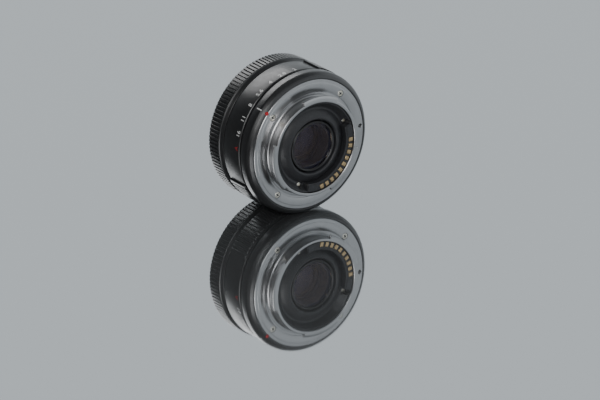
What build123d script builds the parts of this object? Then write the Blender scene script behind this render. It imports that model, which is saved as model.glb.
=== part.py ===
from build123d import *
import os
from math import atan2, cos, degrees, pi, radians, sin, sqrt

# A wide prime lens for a mirrorless camera, lying on its rim. It is drawn on its own
# optical axis (+Z towards the subject, +X towards the index mark, flange face at Z = 0)
# and each piece is then turned into the row frame by `export_piece`.
# Angles count from the index mark, anticlockwise as seen from the front. Millimetres.

# --- how the lens lies in the row frame ---
index_direction = 139.0      # of the index mark, from +X towards +Z

# --- outside, along the axis from the flange ---
flange_radius = 29.25
barrel_radius = 32.0         # rear barrel and focus ring
rear_barrel_front = 6.3
ring_groove = 2.0            # dark groove between rear barrel and aperture ring
aperture_ring_length = 11.1
shoulder_gap = 0.9           # between the aperture ring and the focus ring
focus_ring_length = 9.0
front_ring_length = 4.25

# --- gaps and broken edges ---
fit_gap = 0.1                # radial, for pieces that drop into each other
side_clearance = 0.15        # between the end faces of turning pieces
ring_clearance = 0.08        # radial, between a ring and the core
thread_gap = 0.02            # round screws, rods and beads in their holes
head_gap = 0.1               # round screw heads
glass_gap = 0.05             # radial, round a glass element
edge_break = 0.3             # chamfer on the outside edges of rings
fine_break = 0.2

# --- small fasteners: head radius, head height, thread radius ---
flange_screw = (1.35, 0.8, 0.8)
small_screw = (1.0, 0.5, 0.6)

# --- bayonet ---
throat_radius = 20.45        # bore of the bayonet
bayonet_wall = 1.35
bayonet_length = 5.3         # from the flange face to the rear rim
flange_thickness = 2.4
lug_height = 1.4
lug_thickness = 1.7
lug_spans = ((32.5, 80.0), (152.0, 208.0), (277.5, 334.5))
collar_height = 1.25         # root ring round the bayonet barrel
collar_drop = 0.1            # root ring's face in front of the flange face
relief_width = 1.05          # machined groove outside the root ring
relief_depth = 0.4
land_radius = 27.5           # where the flange face steps down
land_drop = 0.1
pin_hole_radius = 0.9        # for the camera's locking pin
pin_hole_depth = 2.0
pin_hole_angle = 135.0
flange_screw_circle = 25.7
flange_screw_angles = (0, 90, 180, 270)
flange_screw_grip = 2.6      # thread held in the core
bead_radius = 0.85
bead_circle = 29.55
bead_rear = -0.3
bead_front = 1.6

# --- rings and the core they turn on ---
core_radius = 28.9
core_wall = 1.7
core_inner_hole = 15.4
web_thickness = 2.0          # rear barrel's inner web
core_web = 1.2
shoulder_radius = 30.6
sleeve_wall = 1.35           # aperture ring's rear sleeve
sleeve_gap = 0.2             # in front of the rear barrel's web
aperture_body_radius = 31.4
grip_radius = 32.25
grip_spans = ((70.0, 133.0), (-133.0, -70.0))
grip_margin = 0.6            # plain ends of the grips
knurl_count = 116
knurl_depth = 0.45
knurl_land = 0.68            # share of the pitch that stays at full height
knurl_flank = 0.06           # share of the pitch that each flank takes
focus_lip = 1.7              # plain cone behind the focus ring's teeth
focus_lip_drop = 1.1         # how far the cone falls towards the rear
recess_depth = 1.25          # inside the focus ring
recess_start = 4.0           # from the focus ring's rear face
recess_end = 0.7             # from its front face

# --- aperture scale: one stop is `stop_step` degrees, clicks at thirds ---
stop_step = 12.15
stops_below = 4              # from f/8 up to f/2
stops_above = 2              # from f/8 down to f/16
auto_step = 12.3             # from f/16 to A
clicks_per_stop = 3
click_depth = 0.25
click_angle = 300.0
ball_radius = 0.5
ball_gap = 0.05
spring_depth = 1.6           # blind hole for the click spring
spring_wire = 0.08
spring_pitch = 0.2
stop_pin_angle = 250.0
stop_pin_radius = 0.6
stop_pin_rear = 9.9          # where the pin stands along the axis
stop_slot_depth = 1.1
stop_slot_gap = 0.15

# --- code strips and the sensors that read them ---
strip_thickness = 0.35
strip_backing = 0.3          # depth left under the aperture ring's strip
strip_start = 4.2            # from a ring's rear face
strip_length = 4.0
encoder_strip_end = 0.9      # from the focus ring's front face
sensor_depth = 2.0
sensor_width = 4.0
sensor_length = 3.0
sensor_inset = 1.2
encoder_angle = 150.0
encoder_offset = 0.4         # from its strip's rear end
brush_angle = 210.0
brush_offset = 0.4

# --- front ring, 52 mm filter ---
filter_radius = 25.6         # crest of the M52 x 0.75 internal thread
neck_wall = 2.0
thread_relief_depth = 0.3    # behind the filter thread
thread_relief_length = 0.9
front_flange_lip = 1.5       # past the core, to keep the focus ring on
front_flange_thickness = 1.0
front_web_width = 3.0        # inside the filter thread
front_plate_gap = 0.5        # round the moving block
hood_lug_height = 0.8
hood_lug_thickness = 1.0
hood_lug_offset = 0.9        # in front of the front flange
hood_lug_half = 10.0         # half its angle
hood_lug_angles = (60, 180, 300)
front_screw_inset = 1.4      # inside the filter thread
front_screw_angles = (45, 165, 265)
front_screw_length = 5.0
front_post_radius = 1.6
name_ring_rise = 0.3
name_ring_steps = 6
name_step_drop = 0.1

# --- rear baffle and contacts ---
light_throat = 11.9          # radius of the hole in the baffle
baffle_rim = 4.6             # baffle's rear edge behind the flange
hump_width = 1.1             # from the hole to the hump's crest
hump_height = 3.6
valley_place = 4 / 7         # of the way from the crest to the baffle's edge
valley_height = 1.5
cell_passage = 0.2           # where the hole widens for the rear cell
cell_passage_gap = 0.3
block_start = 119.5
block_end = 242.5
block_width = 3.85           # of the contact block, inwards from the baffle's edge
block_rear = 4.6
block_floor = 1.9
pad_inset = 1.2              # degrees from the block's ends
contact_count = 10
contact_pitch = 8.61
contact_inset = 1.35         # from the baffle's edge
contact_width = 1.75
contact_depth = 2.1
contact_length = 3.2
contact_stand = 0.26
contact_centre = 180.0
baffle_screw_insets = ((1.55, 115.5), (2.45, 251.5))   # from the baffle's edge, and angle
baffle_screw_seat = -1.2
baffle_screw_well = 1.3

# --- circuit board ---
board_inner = 16.6
board_outer = 23.5
board_start = 100.0
board_end = 262.0
board_lift = 0.3             # above the core's floor
board_thickness = 0.8
board_screw_circle = 21.8
board_screw_angles = (108, 200, 254)
board_post_radius = 1.3
flex_inset = 1.95            # from the baffle's edge
flex_width = 6.0
flex_thickness = 0.2
# depth, width, height, circle and angle of each package
chip_sizes = (
    (5.0, 5.0, 0.9, 20.0, 152), (3.0, 3.0, 0.8, 20.2, 176), (2.4, 6.5, 1.2, 19.0, 228),
    (1.2, 2.0, 0.7, 19.0, 192), (1.2, 2.0, 0.7, 19.0, 206), (1.0, 1.8, 0.6, 20.0, 136))
home_sensor_angle = 125.0
home_sensor_circle = 20.0
home_sensor_size = (2.6, 4.2, 4.6)
home_slot = 1.4
home_slot_floor = 8.2
flag_thickness = 0.5
flag_rear = 9.0
flag_length = 3.0

# --- moving optical block and its drive ---
block_bore = 12.6
block_wall = 1.3
block_rear_end = 7.4
block_front_end = 21.0
inner_web = 1.0
inner_web_hole = 8.6
rod_radius = 0.8
rod_circle = 20.5
rod_end = 0.25               # the rods stop this far inside their seats' plates
main_rod_angle = 70.0
side_rod_angle = 290.0
rod_clearance = 0.04
sleeve_rear = 9.0
sleeve_front = 20.6
rod_sleeve_wall = 1.2
fork_rear = 11.6
fork_length = 2.4
fork_width = 4.0
screw_circle = 22.6
screw_angle = 20.0
lead_screw_radius = 1.0
journal_radius = 0.7
journal_length = 0.9
motor_radius = 3.4
motor_length = 8.0
motor_nose = 0.3
bracket_sheet = 0.6
bracket_width = 6.0
bracket_inset = 3.2          # from the lead screw to the bracket's open side
bracket_end_gap = 0.7
nut_rear = 16.6
nut_length = 3.0
nut_width = 4.4
nut_gap = 0.1

# --- iris ---
blade_count = 7
blade_inner = 5.3
blade_outer = 8.2
blade_reach = 118.0          # degrees of arc that one blade covers
blade_thickness = 0.08
blade_pitch = 0.15
blade_lift = 0.1             # first blade over the base plate
pivot_circle = 9.2
pin_radius = 0.35
pivot_ear = 0.95
drive_ear = 0.7
drive_arm = 2.4
blade_swing = 28.9
iris_turn = 16.0
pin_clearance = 0.05
iris_plane = 13.4            # front face of the block's inner web
iris_plate = 0.6
iris_hole = 5.5
iris_height = 3.3            # of the whole unit over the web
drive_lift = 1.9             # drive ring over the web
drive_thickness = 0.7
drive_inner = 8.75
cover_gap = 0.12
cover_thickness = 0.38
gear_module = 0.3
gear_backlash = 0.06         # added to the distance between the two gears
tooth_root = 0.95            # in modules, below and above the pitch circle
tooth_tip = 0.55
root_half_width = 0.30
tip_half_width = 0.16
sector_lift = 1.7            # pitch circle outside the moving barrel
sector_margin = 4.0          # degrees of teeth past the pinion at each end
pinion_teeth = 9
pinion_angle = 325.0
pinion_shaft = 0.4
iris_motor_radius = 2.7
iris_motor_length = 5.0
shelf_thickness = 0.8
shelf_width = 6.4
shelf_margin = 2.9

# --- glass and its cells ---
# radius, rear edge, front edge, rear bulge, front bulge; counted from the front
elements = {
    "front_element": (12.0, 25.2, 26.4, -1.0, 0.9),
    "second_element": (9.6, 21.2, 22.4, -0.7, 0.5),
    "third_element": (8.0, 18.3, 19.7, 0.4, 0.9),
    "fourth_element": (7.8, 11.4, 12.0, 0.9, -0.5),
    "fifth_element": (7.8, 9.7, 11.4, 0.3, -0.9),
    "sixth_element": (8.8, 7.4, 8.6, 0.6, -0.5),
    "seventh_element": (9.6, 4.5, 5.9, 0.5, 0.6),
    "rear_element": (10.8, -2.3, -0.6, 0.6, -0.4),
}
seat_lip = 0.7
cell_rear = -3.0             # rear face of the rear cell
cell_shoulder = 0.9          # where the rear cell widens to fill the block
front_cell_step = 0.7        # inside the moving barrel's outside
front_cell_front = 28.2
cell_shoulder_thickness = 0.9
name_ring_gap = 0.4          # round the front cell
spacer_wall = 0.8
spacer_length = 1.0
rear_ring_wall = 0.5
front_ring_wall = 1.0
front_ring_height = 1.2

# --- derived places along the axis ---
aperture_rear = rear_barrel_front + ring_groove
aperture_front = aperture_rear + aperture_ring_length
focus_rear = aperture_front + shoulder_gap
focus_front = focus_rear + focus_ring_length
front_base = focus_front + side_clearance
front_web_top = front_base + front_flange_thickness
lens_front = front_base + front_ring_length
web_front = flange_thickness + web_thickness
core_floor = web_front + core_web
front_plate_rear = front_base - core_web
aperture_sleeve_rear = web_front + sleeve_gap
strip_rear = aperture_rear + strip_start
strip_front = strip_rear + strip_length
encoder_strip_rear = focus_rear + strip_start
board_rear = core_floor + board_lift
board_front = board_rear + board_thickness
motor_front = core_floor + motor_length
bracket_front = front_plate_rear - bracket_end_gap
bracket_screw_heights = (motor_front + 3, bracket_front - 3.3)
ball_top = web_front + side_clearance
encoder_rear = encoder_strip_rear + encoder_offset
brush_rear = strip_rear + brush_offset
front_screw_seat = front_web_top - small_screw[1]
drive_rear = iris_plane + drive_lift
drive_front = drive_rear + drive_thickness
iris_top = iris_plane + iris_height

# --- derived radii and angles ---
core_bore = core_radius - core_wall
ring_bore = core_radius + ring_clearance
sleeve_radius = ring_bore + sleeve_wall
barrel_bore = sleeve_radius + side_clearance
ball_circle = (ring_bore + sleeve_radius) / 2
stop_slot_radius = ring_bore + stop_slot_depth
strip_floor = ring_bore + strip_thickness + strip_backing
recess_radius = ring_bore + recess_depth
bayonet_radius = throat_radius + bayonet_wall
collar_radius = bayonet_radius + collar_height
lug_radius = bayonet_radius + lug_height
baffle_radius = throat_radius - fit_gap
contact_block_radius = baffle_radius - fit_gap / 2
block_inner = baffle_radius - block_width
contact_circle = baffle_radius - contact_inset
flex_circle = baffle_radius - flex_inset
baffle_screw_places = tuple((baffle_radius - inset, a) for inset, a in baffle_screw_insets)
hump_radius = light_throat + hump_width
valley_radius = hump_radius + (baffle_radius - hump_radius) * valley_place
neck_radius = filter_radius + neck_wall
front_flange_radius = core_radius + front_flange_lip
front_web_inner = filter_radius - front_web_width
front_screw_circle = filter_radius - front_screw_inset
block_outer = block_bore + block_wall
cell_radius = block_bore - fit_gap
front_cell_radius = block_outer - front_cell_step
ring_back_limit = -stop_step * stops_below
ring_front_limit = stop_step * stops_above + auto_step
sector_teeth = round(2 * (block_outer + sector_lift) / gear_module)
gear_radius = gear_module * sector_teeth / 2
pinion_pitch_radius = gear_module * pinion_teeth / 2
pinion_circle = gear_radius + pinion_pitch_radius + gear_backlash
sector_start = pinion_angle - iris_turn - sector_margin
sector_end = pinion_angle + sector_margin

BASE = (Align.CENTER, Align.CENTER, Align.MIN)
THROUGH = 100.0              # longer than any piece, for cutters
EMBED = 0.4                  # how far joined shapes run into each other


def export_piece(piece, name):
    """Turn a piece drawn on the optical axis into the row frame and write it."""
    way = Vector(cos(radians(index_direction)), 0, sin(radians(index_direction)))
    frame = Plane(origin=(0, 0, 0), x_dir=way, z_dir=(0, 1, 0))
    export_step(frame.location * piece, f"parts/{name}.step")


def turned(points, start=0.0, sweep=360.0):
    """Revolve a closed outline of (radius, z) points about the optical axis."""
    outline = make_face(Plane.XZ * Polyline(*points, close=True))
    return Rot(0, 0, start) * revolve(outline, Axis.Z, revolution_arc=sweep)


def ring(outer, inner, low, high):
    """Plain tube on the optical axis."""
    return turned([(inner, low), (outer, low), (outer, high), (inner, high)])


def arc_piece(outer, inner, low, high, start, end):
    """Part of a tube between two angles."""
    points = [(inner, low), (outer, low), (outer, high), (inner, high)]
    return turned(points, start, end - start)


def at(radius, angle, z=0.0):
    """Place on a circle, with local +X pointing outwards."""
    return Rot(0, 0, angle) * Pos(radius, 0, z)


def rod(radius, low, high, circle=0.0, angle=0.0):
    """Cylinder along the optical axis."""
    return at(circle, angle, low) * Cylinder(radius, high - low, align=BASE)


def radial_rod(radius, inner, outer, angle, z):
    """Cylinder that points outwards."""
    turn = Rot(0, 0, angle) * Pos(inner, 0, z) * Rot(0, 90, 0)
    return turn * Cylinder(radius, outer - inner, align=BASE)


def block(depth, width, height, circle, angle, low):
    """Box with its depth along the radius."""
    return at(circle, angle, low) * Box(depth, width, height, align=BASE)


def group(pieces):
    """Several separate solids in one node."""
    return Compound([solid for piece in pieces for solid in piece.solids()])


def screw(size, circle, angle, seat, tip, direction=1):
    """Cross-head screw whose head lies on `seat`; direction 1 drives towards +Z."""
    head_radius, head_height, thread_radius = size
    head = Pos(0, 0, -head_height) * Cylinder(head_radius, head_height, align=BASE)
    head = chamfer(head.edges().group_by(Axis.Z)[0], head_height * 0.3)
    slot_length, slot_width = head_radius * 1.3, head_radius * 0.28
    recess = Box(slot_length, slot_width, head_height) + Box(slot_width, slot_length, head_height)
    shank = Cylinder(thread_radius, abs(tip - seat), align=BASE)
    body = head + shank - Pos(0, 0, -head_height) * recess
    flip = Rot(0, 0, 0) if direction == 1 else Rot(180, 0, 0)
    return at(circle, angle, seat) * flip * body


# --- fixed outside ---

def bayonet_mount():
    rear = -bayonet_length
    relief = collar_radius + relief_width
    foot = bayonet_radius - EMBED
    bevel_width, bevel_height = 0.8, 0.45
    outline = [
        (throat_radius, rear + fine_break), (throat_radius + fine_break, rear),
        (bayonet_radius - fine_break, rear), (bayonet_radius, rear + fine_break),
        (bayonet_radius, collar_drop), (collar_radius, collar_drop),
        (collar_radius, relief_depth), (relief, relief_depth),
        (relief, 0), (land_radius, 0), (land_radius, land_drop),
        (flange_radius - edge_break, land_drop), (flange_radius, land_drop + edge_break),
        (flange_radius, flange_thickness), (throat_radius, flange_thickness)]
    mount = turned(outline)
    for start, end in lug_spans:
        lug = [
            (foot, rear), (lug_radius - bevel_width, rear), (lug_radius, rear + bevel_height),
            (lug_radius, rear + lug_thickness), (foot, rear + lug_thickness)]
        mount += turned(lug, start, end - start)
    head_radius, head_height, thread_radius = flange_screw
    for angle in flange_screw_angles:
        mount -= rod(thread_radius + head_gap, -1, THROUGH, flange_screw_circle, angle)
        mount -= rod(head_radius + head_gap, -1, head_height + head_gap, flange_screw_circle, angle)
    mount -= rod(bead_radius + thread_gap, -1, bead_front, bead_circle, 0)
    return mount - rod(pin_hole_radius, -1, pin_hole_depth, land_radius, pin_hole_angle)


def flange_screws():
    seat = flange_screw[1] + head_gap
    tip = core_floor + flange_screw_grip
    return group(screw(flange_screw, flange_screw_circle, a, seat, tip) for a in flange_screw_angles)


def rear_barrel():
    seat = flange_radius + fit_gap / 2
    front = rear_barrel_front
    web_inner = flange_screw_circle - 2.1
    taper_front = 3.0
    outline = [
        (seat, 0.15), (seat + 0.5, 0.2), (seat + 1.6, 1.05), (barrel_radius - 0.25, 2.2),
        (barrel_radius, taper_front), (barrel_radius, front - edge_break),
        (barrel_radius - edge_break, front), (barrel_bore, front), (barrel_bore, web_front),
        (web_inner, web_front), (web_inner, flange_thickness), (seat, flange_thickness)]
    barrel = turned(outline)
    for angle in flange_screw_angles:
        barrel -= rod(flange_screw[2] + head_gap, 0, THROUGH, flange_screw_circle, angle)
    barrel -= rod(bead_radius + thread_gap, -1, bead_front + thread_gap, bead_circle, 0)
    return barrel - rod(ball_radius + ball_gap, web_front - spring_depth, THROUGH,
                        ball_circle, click_angle)


def index_bead():
    """Round red bead at the edge of the flange that marks the mount's start position."""
    bead = rod(bead_radius, bead_rear, bead_front, bead_circle, 0)
    return fillet(bead.edges().group_by(Axis.Z)[0], bead_radius * 0.6)


def toothed_ring(outer, inner, root, low, high, count, land):
    """Ring with axial grooves cut into its outside."""
    pitch = 2 * pi / count
    points = []
    for tooth in range(count):
        middle = tooth * pitch
        for share, radius in ((-land / 2, outer), (land / 2, outer),
                              (land / 2 + knurl_flank, root),
                              (1 - land / 2 - knurl_flank, root)):
            angle = middle + share * pitch
            points.append((radius * cos(angle), radius * sin(angle)))
    face = make_face(Polyline(*points, close=True)) - Circle(inner)
    return Pos(0, 0, low) * extrude(face, high - low)


# --- rings ---

def click_positions():
    count = clicks_per_stop * (stops_below + stops_above) + 1
    clicks = [ring_back_limit + stop_step / clicks_per_stop * k for k in range(count)]
    return clicks + [ring_front_limit]


def aperture_ring():
    rear, front = aperture_rear, aperture_front
    body, foot = aperture_body_radius, aperture_body_radius - EMBED
    outline = [
        (ring_bore, aperture_sleeve_rear), (sleeve_radius, aperture_sleeve_rear),
        (sleeve_radius, rear), (body - edge_break, rear), (body, rear + edge_break),
        (body, front - edge_break), (body - edge_break, front), (ring_bore, front)]
    turned_ring = turned(outline)
    teeth = toothed_ring(grip_radius, foot, grip_radius - knurl_depth,
                         rear + grip_margin, front - grip_margin, knurl_count, knurl_land)
    for start, end in grip_spans:
        turned_ring += teeth & arc_piece(grip_radius + 1, foot, rear, front, start, end)
    turned_ring -= ring(strip_floor, ring_bore - 1, strip_rear, strip_front)
    half = degrees((stop_pin_radius + stop_slot_gap) / ring_bore)
    half_width = stop_pin_radius + stop_slot_gap
    turned_ring -= arc_piece(
        stop_slot_radius, ring_bore - 1, stop_pin_rear - half_width, stop_pin_rear + half_width,
        stop_pin_angle - ring_front_limit - half, stop_pin_angle - ring_back_limit + half)
    for click in click_positions():
        turned_ring -= radial_rod(click_depth, ring_bore - 1, sleeve_radius + 1,
                                  click_angle - click, aperture_sleeve_rear)
    return turned_ring


def focus_ring():
    rear, front = focus_rear, focus_front
    knurl_rear = rear + focus_lip
    root = barrel_radius - knurl_depth
    recess_rear, recess_front = rear + recess_start, front - recess_end
    outline = [
        (ring_bore, rear), (barrel_radius - focus_lip_drop, rear), (root, knurl_rear),
        (root, front - edge_break), (root - edge_break, front), (ring_bore, front),
        (ring_bore, recess_front), (recess_radius, recess_front),
        (recess_radius, recess_rear), (ring_bore, recess_rear)]
    teeth = toothed_ring(barrel_radius, root - EMBED, root, knurl_rear, front - edge_break,
                         knurl_count, knurl_land)
    return turned(outline) + teeth


def focus_encoder_strip():
    return ring(recess_radius, recess_radius - strip_thickness, encoder_strip_rear,
                focus_front - encoder_strip_end)


def aperture_code_strip():
    return ring(strip_floor, strip_floor - strip_thickness, strip_rear + fit_gap,
                strip_front - fit_gap)


def stop_pin():
    return radial_rod(stop_pin_radius, core_bore + stop_slot_gap,
                      stop_slot_radius - stop_slot_gap, stop_pin_angle, stop_pin_rear)


def click_ball():
    """Ball pressed back to the crest between two clicks, so the ring passes it freely."""
    return at(ball_circle, click_angle, ball_top - ball_radius) * Sphere(ball_radius)


def click_spring():
    low = web_front - spring_depth + spring_wire
    high = ball_top - 2 * ball_radius - spring_wire
    path = Helix(pitch=spring_pitch, height=high - low, radius=ball_radius - spring_wire)
    section = Plane(origin=path @ 0, z_dir=path % 0) * Circle(spring_wire)
    return at(ball_circle, click_angle, low) * sweep(section, path=path)


def ring_shims():
    """Two slip washers beside the focus ring."""
    thickness = side_clearance - thread_gap
    inner = ring_bore + fit_gap
    return group([
        ring(shoulder_radius - edge_break, inner, focus_rear - side_clearance,
             focus_rear - side_clearance + thickness),
        ring(front_flange_radius - edge_break, inner, front_base - thickness, front_base)])


# --- core and front ---

def main_barrel():
    """Core tube with its rear web, the bosses for all screws and the windows for sensors."""
    shoulder_rear = aperture_front + side_clearance
    shoulder_front = focus_rear - side_clearance
    outline = [
        (core_inner_hole, web_front), (core_radius, web_front), (core_radius, shoulder_rear),
        (shoulder_radius, shoulder_rear), (shoulder_radius, shoulder_front),
        (core_radius, shoulder_front), (core_radius, front_plate_rear),
        (core_bore, front_plate_rear), (core_bore, core_floor), (core_inner_hole, core_floor)]
    post_length, post_rear = 5.0, front_plate_rear - 5.0
    boss_length, flex_window = 4.0, (2.0, flex_width + 1.0, 4.0)
    small_hole = small_screw[2] + thread_gap
    blind = web_front + sleeve_gap
    core = turned(outline)
    for angle in flange_screw_angles:
        core += rod(2 * flange_screw[2] + fit_gap, core_floor, core_floor + boss_length,
                    flange_screw_circle, angle)
        core -= rod(flange_screw[2] + thread_gap, 0, core_floor + flange_screw_grip + EMBED,
                    flange_screw_circle, angle)
    for angle in front_screw_angles:
        reach = core_bore + EMBED - front_screw_circle
        core += rod(front_post_radius, post_rear, front_plate_rear, front_screw_circle, angle)
        core += block(reach, 1.5 * front_post_radius, post_length,
                      front_screw_circle + reach / 2, angle, post_rear)
        core -= rod(small_hole, front_screw_seat - front_screw_length - EMBED, THROUGH,
                    front_screw_circle, angle)
    for angle in board_screw_angles:
        core += rod(board_post_radius, core_floor, board_rear, board_screw_circle, angle)
        core -= rod(small_hole, blind, THROUGH, board_screw_circle, angle)
    for angle in (main_rod_angle, side_rod_angle):
        core -= rod(rod_radius + thread_gap, blind, THROUGH, rod_circle, angle)
    for circle, angle in baffle_screw_places:
        core -= rod(small_hole, 0, core_floor + 1, circle, angle)
    core -= block(*flex_window, flex_circle, contact_centre, web_front - 1)
    core -= radial_rod(stop_pin_radius + thread_gap, core_bore - 1, core_radius + 1,
                       stop_pin_angle, stop_pin_rear)
    window = (2 * sensor_depth, sensor_width + 2 * fit_gap, sensor_length + 2 * fit_gap)
    core -= block(*window, core_radius - 1, encoder_angle, encoder_rear - fit_gap)
    core -= block(*window, core_radius - 1, brush_angle, brush_rear - fit_gap)
    for z in bracket_screw_heights:
        core -= radial_rod(small_hole, core_bore - 1, core_radius - EMBED, screw_angle, z)
    return core


def front_plate():
    """Closes the core at the front and holds the guide rods."""
    low, high = front_plate_rear, front_base
    plate = ring(core_radius, block_outer + front_plate_gap, low, high)
    for angle in front_screw_angles:
        plate -= rod(small_screw[2] + head_gap, 0, THROUGH, front_screw_circle, angle)
    for angle in (main_rod_angle, side_rod_angle):
        plate -= rod(rod_radius + thread_gap, low - 1, high - sleeve_gap, rod_circle, angle)
    return plate


def filter_ring():
    """Front ring with the filter thread and the hood's bayonet."""
    base = front_web_top
    thread_end, relief = base + thread_relief_length, filter_radius + thread_relief_depth
    outline = [
        (front_web_inner, front_base), (front_flange_radius, front_base),
        (front_flange_radius, base - edge_break), (front_flange_radius - edge_break, base),
        (neck_radius, base), (neck_radius, lens_front - edge_break),
        (neck_radius - edge_break, lens_front), (filter_radius + edge_break, lens_front),
        (filter_radius, lens_front - edge_break), (filter_radius, thread_end),
        (relief, thread_end), (relief, base), (front_web_inner, base)]
    front = turned(outline)
    lug_rear = base + hood_lug_offset
    for angle in hood_lug_angles:
        front += arc_piece(neck_radius + hood_lug_height, neck_radius - EMBED, lug_rear,
                           lug_rear + hood_lug_thickness, angle - hood_lug_half,
                           angle + hood_lug_half)
    head_radius, _, thread_radius = small_screw
    for angle in front_screw_angles:
        front -= rod(thread_radius + head_gap, 0, THROUGH, front_screw_circle, angle)
        front -= rod(head_radius + head_gap, front_screw_seat, THROUGH, front_screw_circle, angle)
    return front


def front_ring_screws():
    tip = front_screw_seat - front_screw_length
    return group(screw(small_screw, front_screw_circle, a, front_screw_seat, tip, -1)
                 for a in front_screw_angles)


def name_ring():
    """Stepped black ring round the front element; it hides the front screws."""
    inner, outer = front_cell_radius + name_ring_gap, filter_radius - fit_gap
    waist = front_web_inner - fit_gap
    low, seat = front_base + glass_gap, front_web_top + glass_gap
    top = front_web_top + name_ring_rise
    outline = [(inner, low), (waist, low), (waist, seat), (outer, seat), (outer, top)]
    width = (outer - inner) / name_ring_steps
    for step in range(name_ring_steps):
        edge = outer - (step + 1) * width
        height = top - name_step_drop * step
        outline += [(edge + 2 * name_step_drop, height), (edge, height - name_step_drop)]
    return turned(outline)


# --- rear baffle, contacts and electronics ---

def rear_baffle():
    """Black dish inside the bayonet with a rounded hump round the light opening."""
    rim, top, throat = -baffle_rim, web_front, light_throat
    rim_width, mouth = 0.6, 0.6
    lip = (throat + 0.15, -hump_height + mouth)
    crest = (hump_radius, -hump_height)
    dish_inner = (valley_radius - 0.9, -valley_height - 0.3)
    dish_outer = (valley_radius + 0.7, -valley_height - 0.4)
    shoulder = ((hump_radius + valley_radius) / 2 - 0.2, -(hump_height + valley_height) / 2 - 0.2)
    wide = max(throat + fine_break, cell_radius + cell_passage_gap)
    edges = [
        Line((baffle_radius, rim), (baffle_radius - rim_width, rim)),
        Line((baffle_radius - rim_width, rim), dish_outer),
        ThreePointArc(dish_outer, (valley_radius, -valley_height), dish_inner),
        ThreePointArc(dish_inner, shoulder, crest),
        ThreePointArc(crest, (throat + 0.45, -hump_height + 0.15), lip),
        Line(lip, (throat, -hump_height + 2 * mouth)),
        Line((throat, -hump_height + 2 * mouth), (throat, cell_passage)),
        Line((throat, cell_passage), (wide, cell_passage)),
        Line((wide, cell_passage), (wide, top)),
        Line((wide, top), (baffle_radius, top)),
        Line((baffle_radius, top), (baffle_radius, rim))]
    baffle = revolve(make_face([Plane.XZ * edge for edge in edges]), Axis.Z)
    side_gap = 0.4               # degrees beside the contact block
    baffle -= arc_piece(baffle_radius + 1, block_inner - fit_gap, -THROUGH, block_floor,
                        block_start - side_gap, block_end + side_gap)
    for circle, angle in baffle_screw_places:
        baffle -= rod(small_screw[2] + head_gap, -THROUGH, THROUGH, circle, angle)
        baffle -= rod(baffle_screw_well, -THROUGH, baffle_screw_seat, circle, angle)
    return baffle - block(1.0, flex_width + EMBED, THROUGH, flex_circle, contact_centre, 0)


def baffle_screws():
    return group(screw(small_screw, circle, angle, baffle_screw_seat, core_floor - sleeve_gap)
                 for circle, angle in baffle_screw_places)


def contact_places():
    first = contact_centre - contact_pitch * (contact_count - 1) / 2
    return [first + contact_pitch * k for k in range(contact_count)]


def contact_block():
    body = arc_piece(contact_block_radius, block_inner, -block_rear, block_floor,
                     block_start, block_end)
    gap = 0.65 * contact_pitch
    first, last = contact_places()[0] - gap, contact_places()[-1] + gap
    for start, end in ((block_start + pad_inset, first), (last, block_end - pad_inset)):
        body += arc_piece(contact_block_radius - edge_break, block_inner + 2 * edge_break,
                          -block_rear - contact_stand, EMBED - block_rear, start, end)
    for piece in contact_pieces():
        body -= piece
    return body


def contact_pieces():
    rear = -block_rear - contact_stand
    return [block(contact_depth, contact_width, contact_length, contact_circle, angle, rear)
            for angle in contact_places()]


def contact_pins():
    return group(contact_pieces())


def contact_flex():
    """Flat flexible lead from the contact block to the board."""
    return block(flex_thickness, flex_width, board_rear - block_floor, flex_circle,
                 contact_centre, block_floor)


def main_board():
    """C-shaped circuit board on the rear web."""
    board = arc_piece(board_outer, board_inner, board_rear, board_front, board_start, board_end)
    for angle in board_screw_angles:
        board -= rod(small_screw[2] + head_gap, 0, THROUGH, board_screw_circle, angle)
    return board


def board_screws():
    return [screw(small_screw, board_screw_circle, a, board_front, web_front + EMBED, -1)
            for a in board_screw_angles]


def board_chips():
    return group(block(depth, width, height, circle, angle, board_front)
                 for depth, width, height, circle, angle in chip_sizes)


def sensor(angle, low):
    return block(sensor_depth, sensor_width, sensor_length, core_radius - sensor_inset, angle, low)


def ring_sensor():
    """Reads the marks inside the focus ring through a window in the core."""
    return sensor(encoder_angle, encoder_rear)


def aperture_brush():
    """Reads the code strip inside the aperture ring through a window in the core."""
    return sensor(brush_angle, brush_rear)


def home_sensor():
    """Forked light gate that finds the focus block's start position."""
    body = block(*home_sensor_size, home_sensor_circle, home_sensor_angle, board_front)
    return body - block(2 * home_sensor_size[0], home_slot, THROUGH, home_sensor_circle,
                        home_sensor_angle, home_slot_floor)


# --- focus drive ---

def guide_rods():
    low, high = web_front + rod_end, front_base - rod_end
    return group(rod(rod_radius, low, high, rod_circle, angle)
                 for angle in (main_rod_angle, side_rod_angle))


def focus_motor():
    can = rod(motor_radius, core_floor, motor_front, screw_circle, screw_angle)
    nose = rod(motor_radius / 2, core_floor, motor_front + motor_nose, screw_circle, screw_angle)
    bore = rod(lead_screw_radius + ring_clearance, core_floor + 2, THROUGH,
               screw_circle, screw_angle)
    return can + nose - bore


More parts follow.
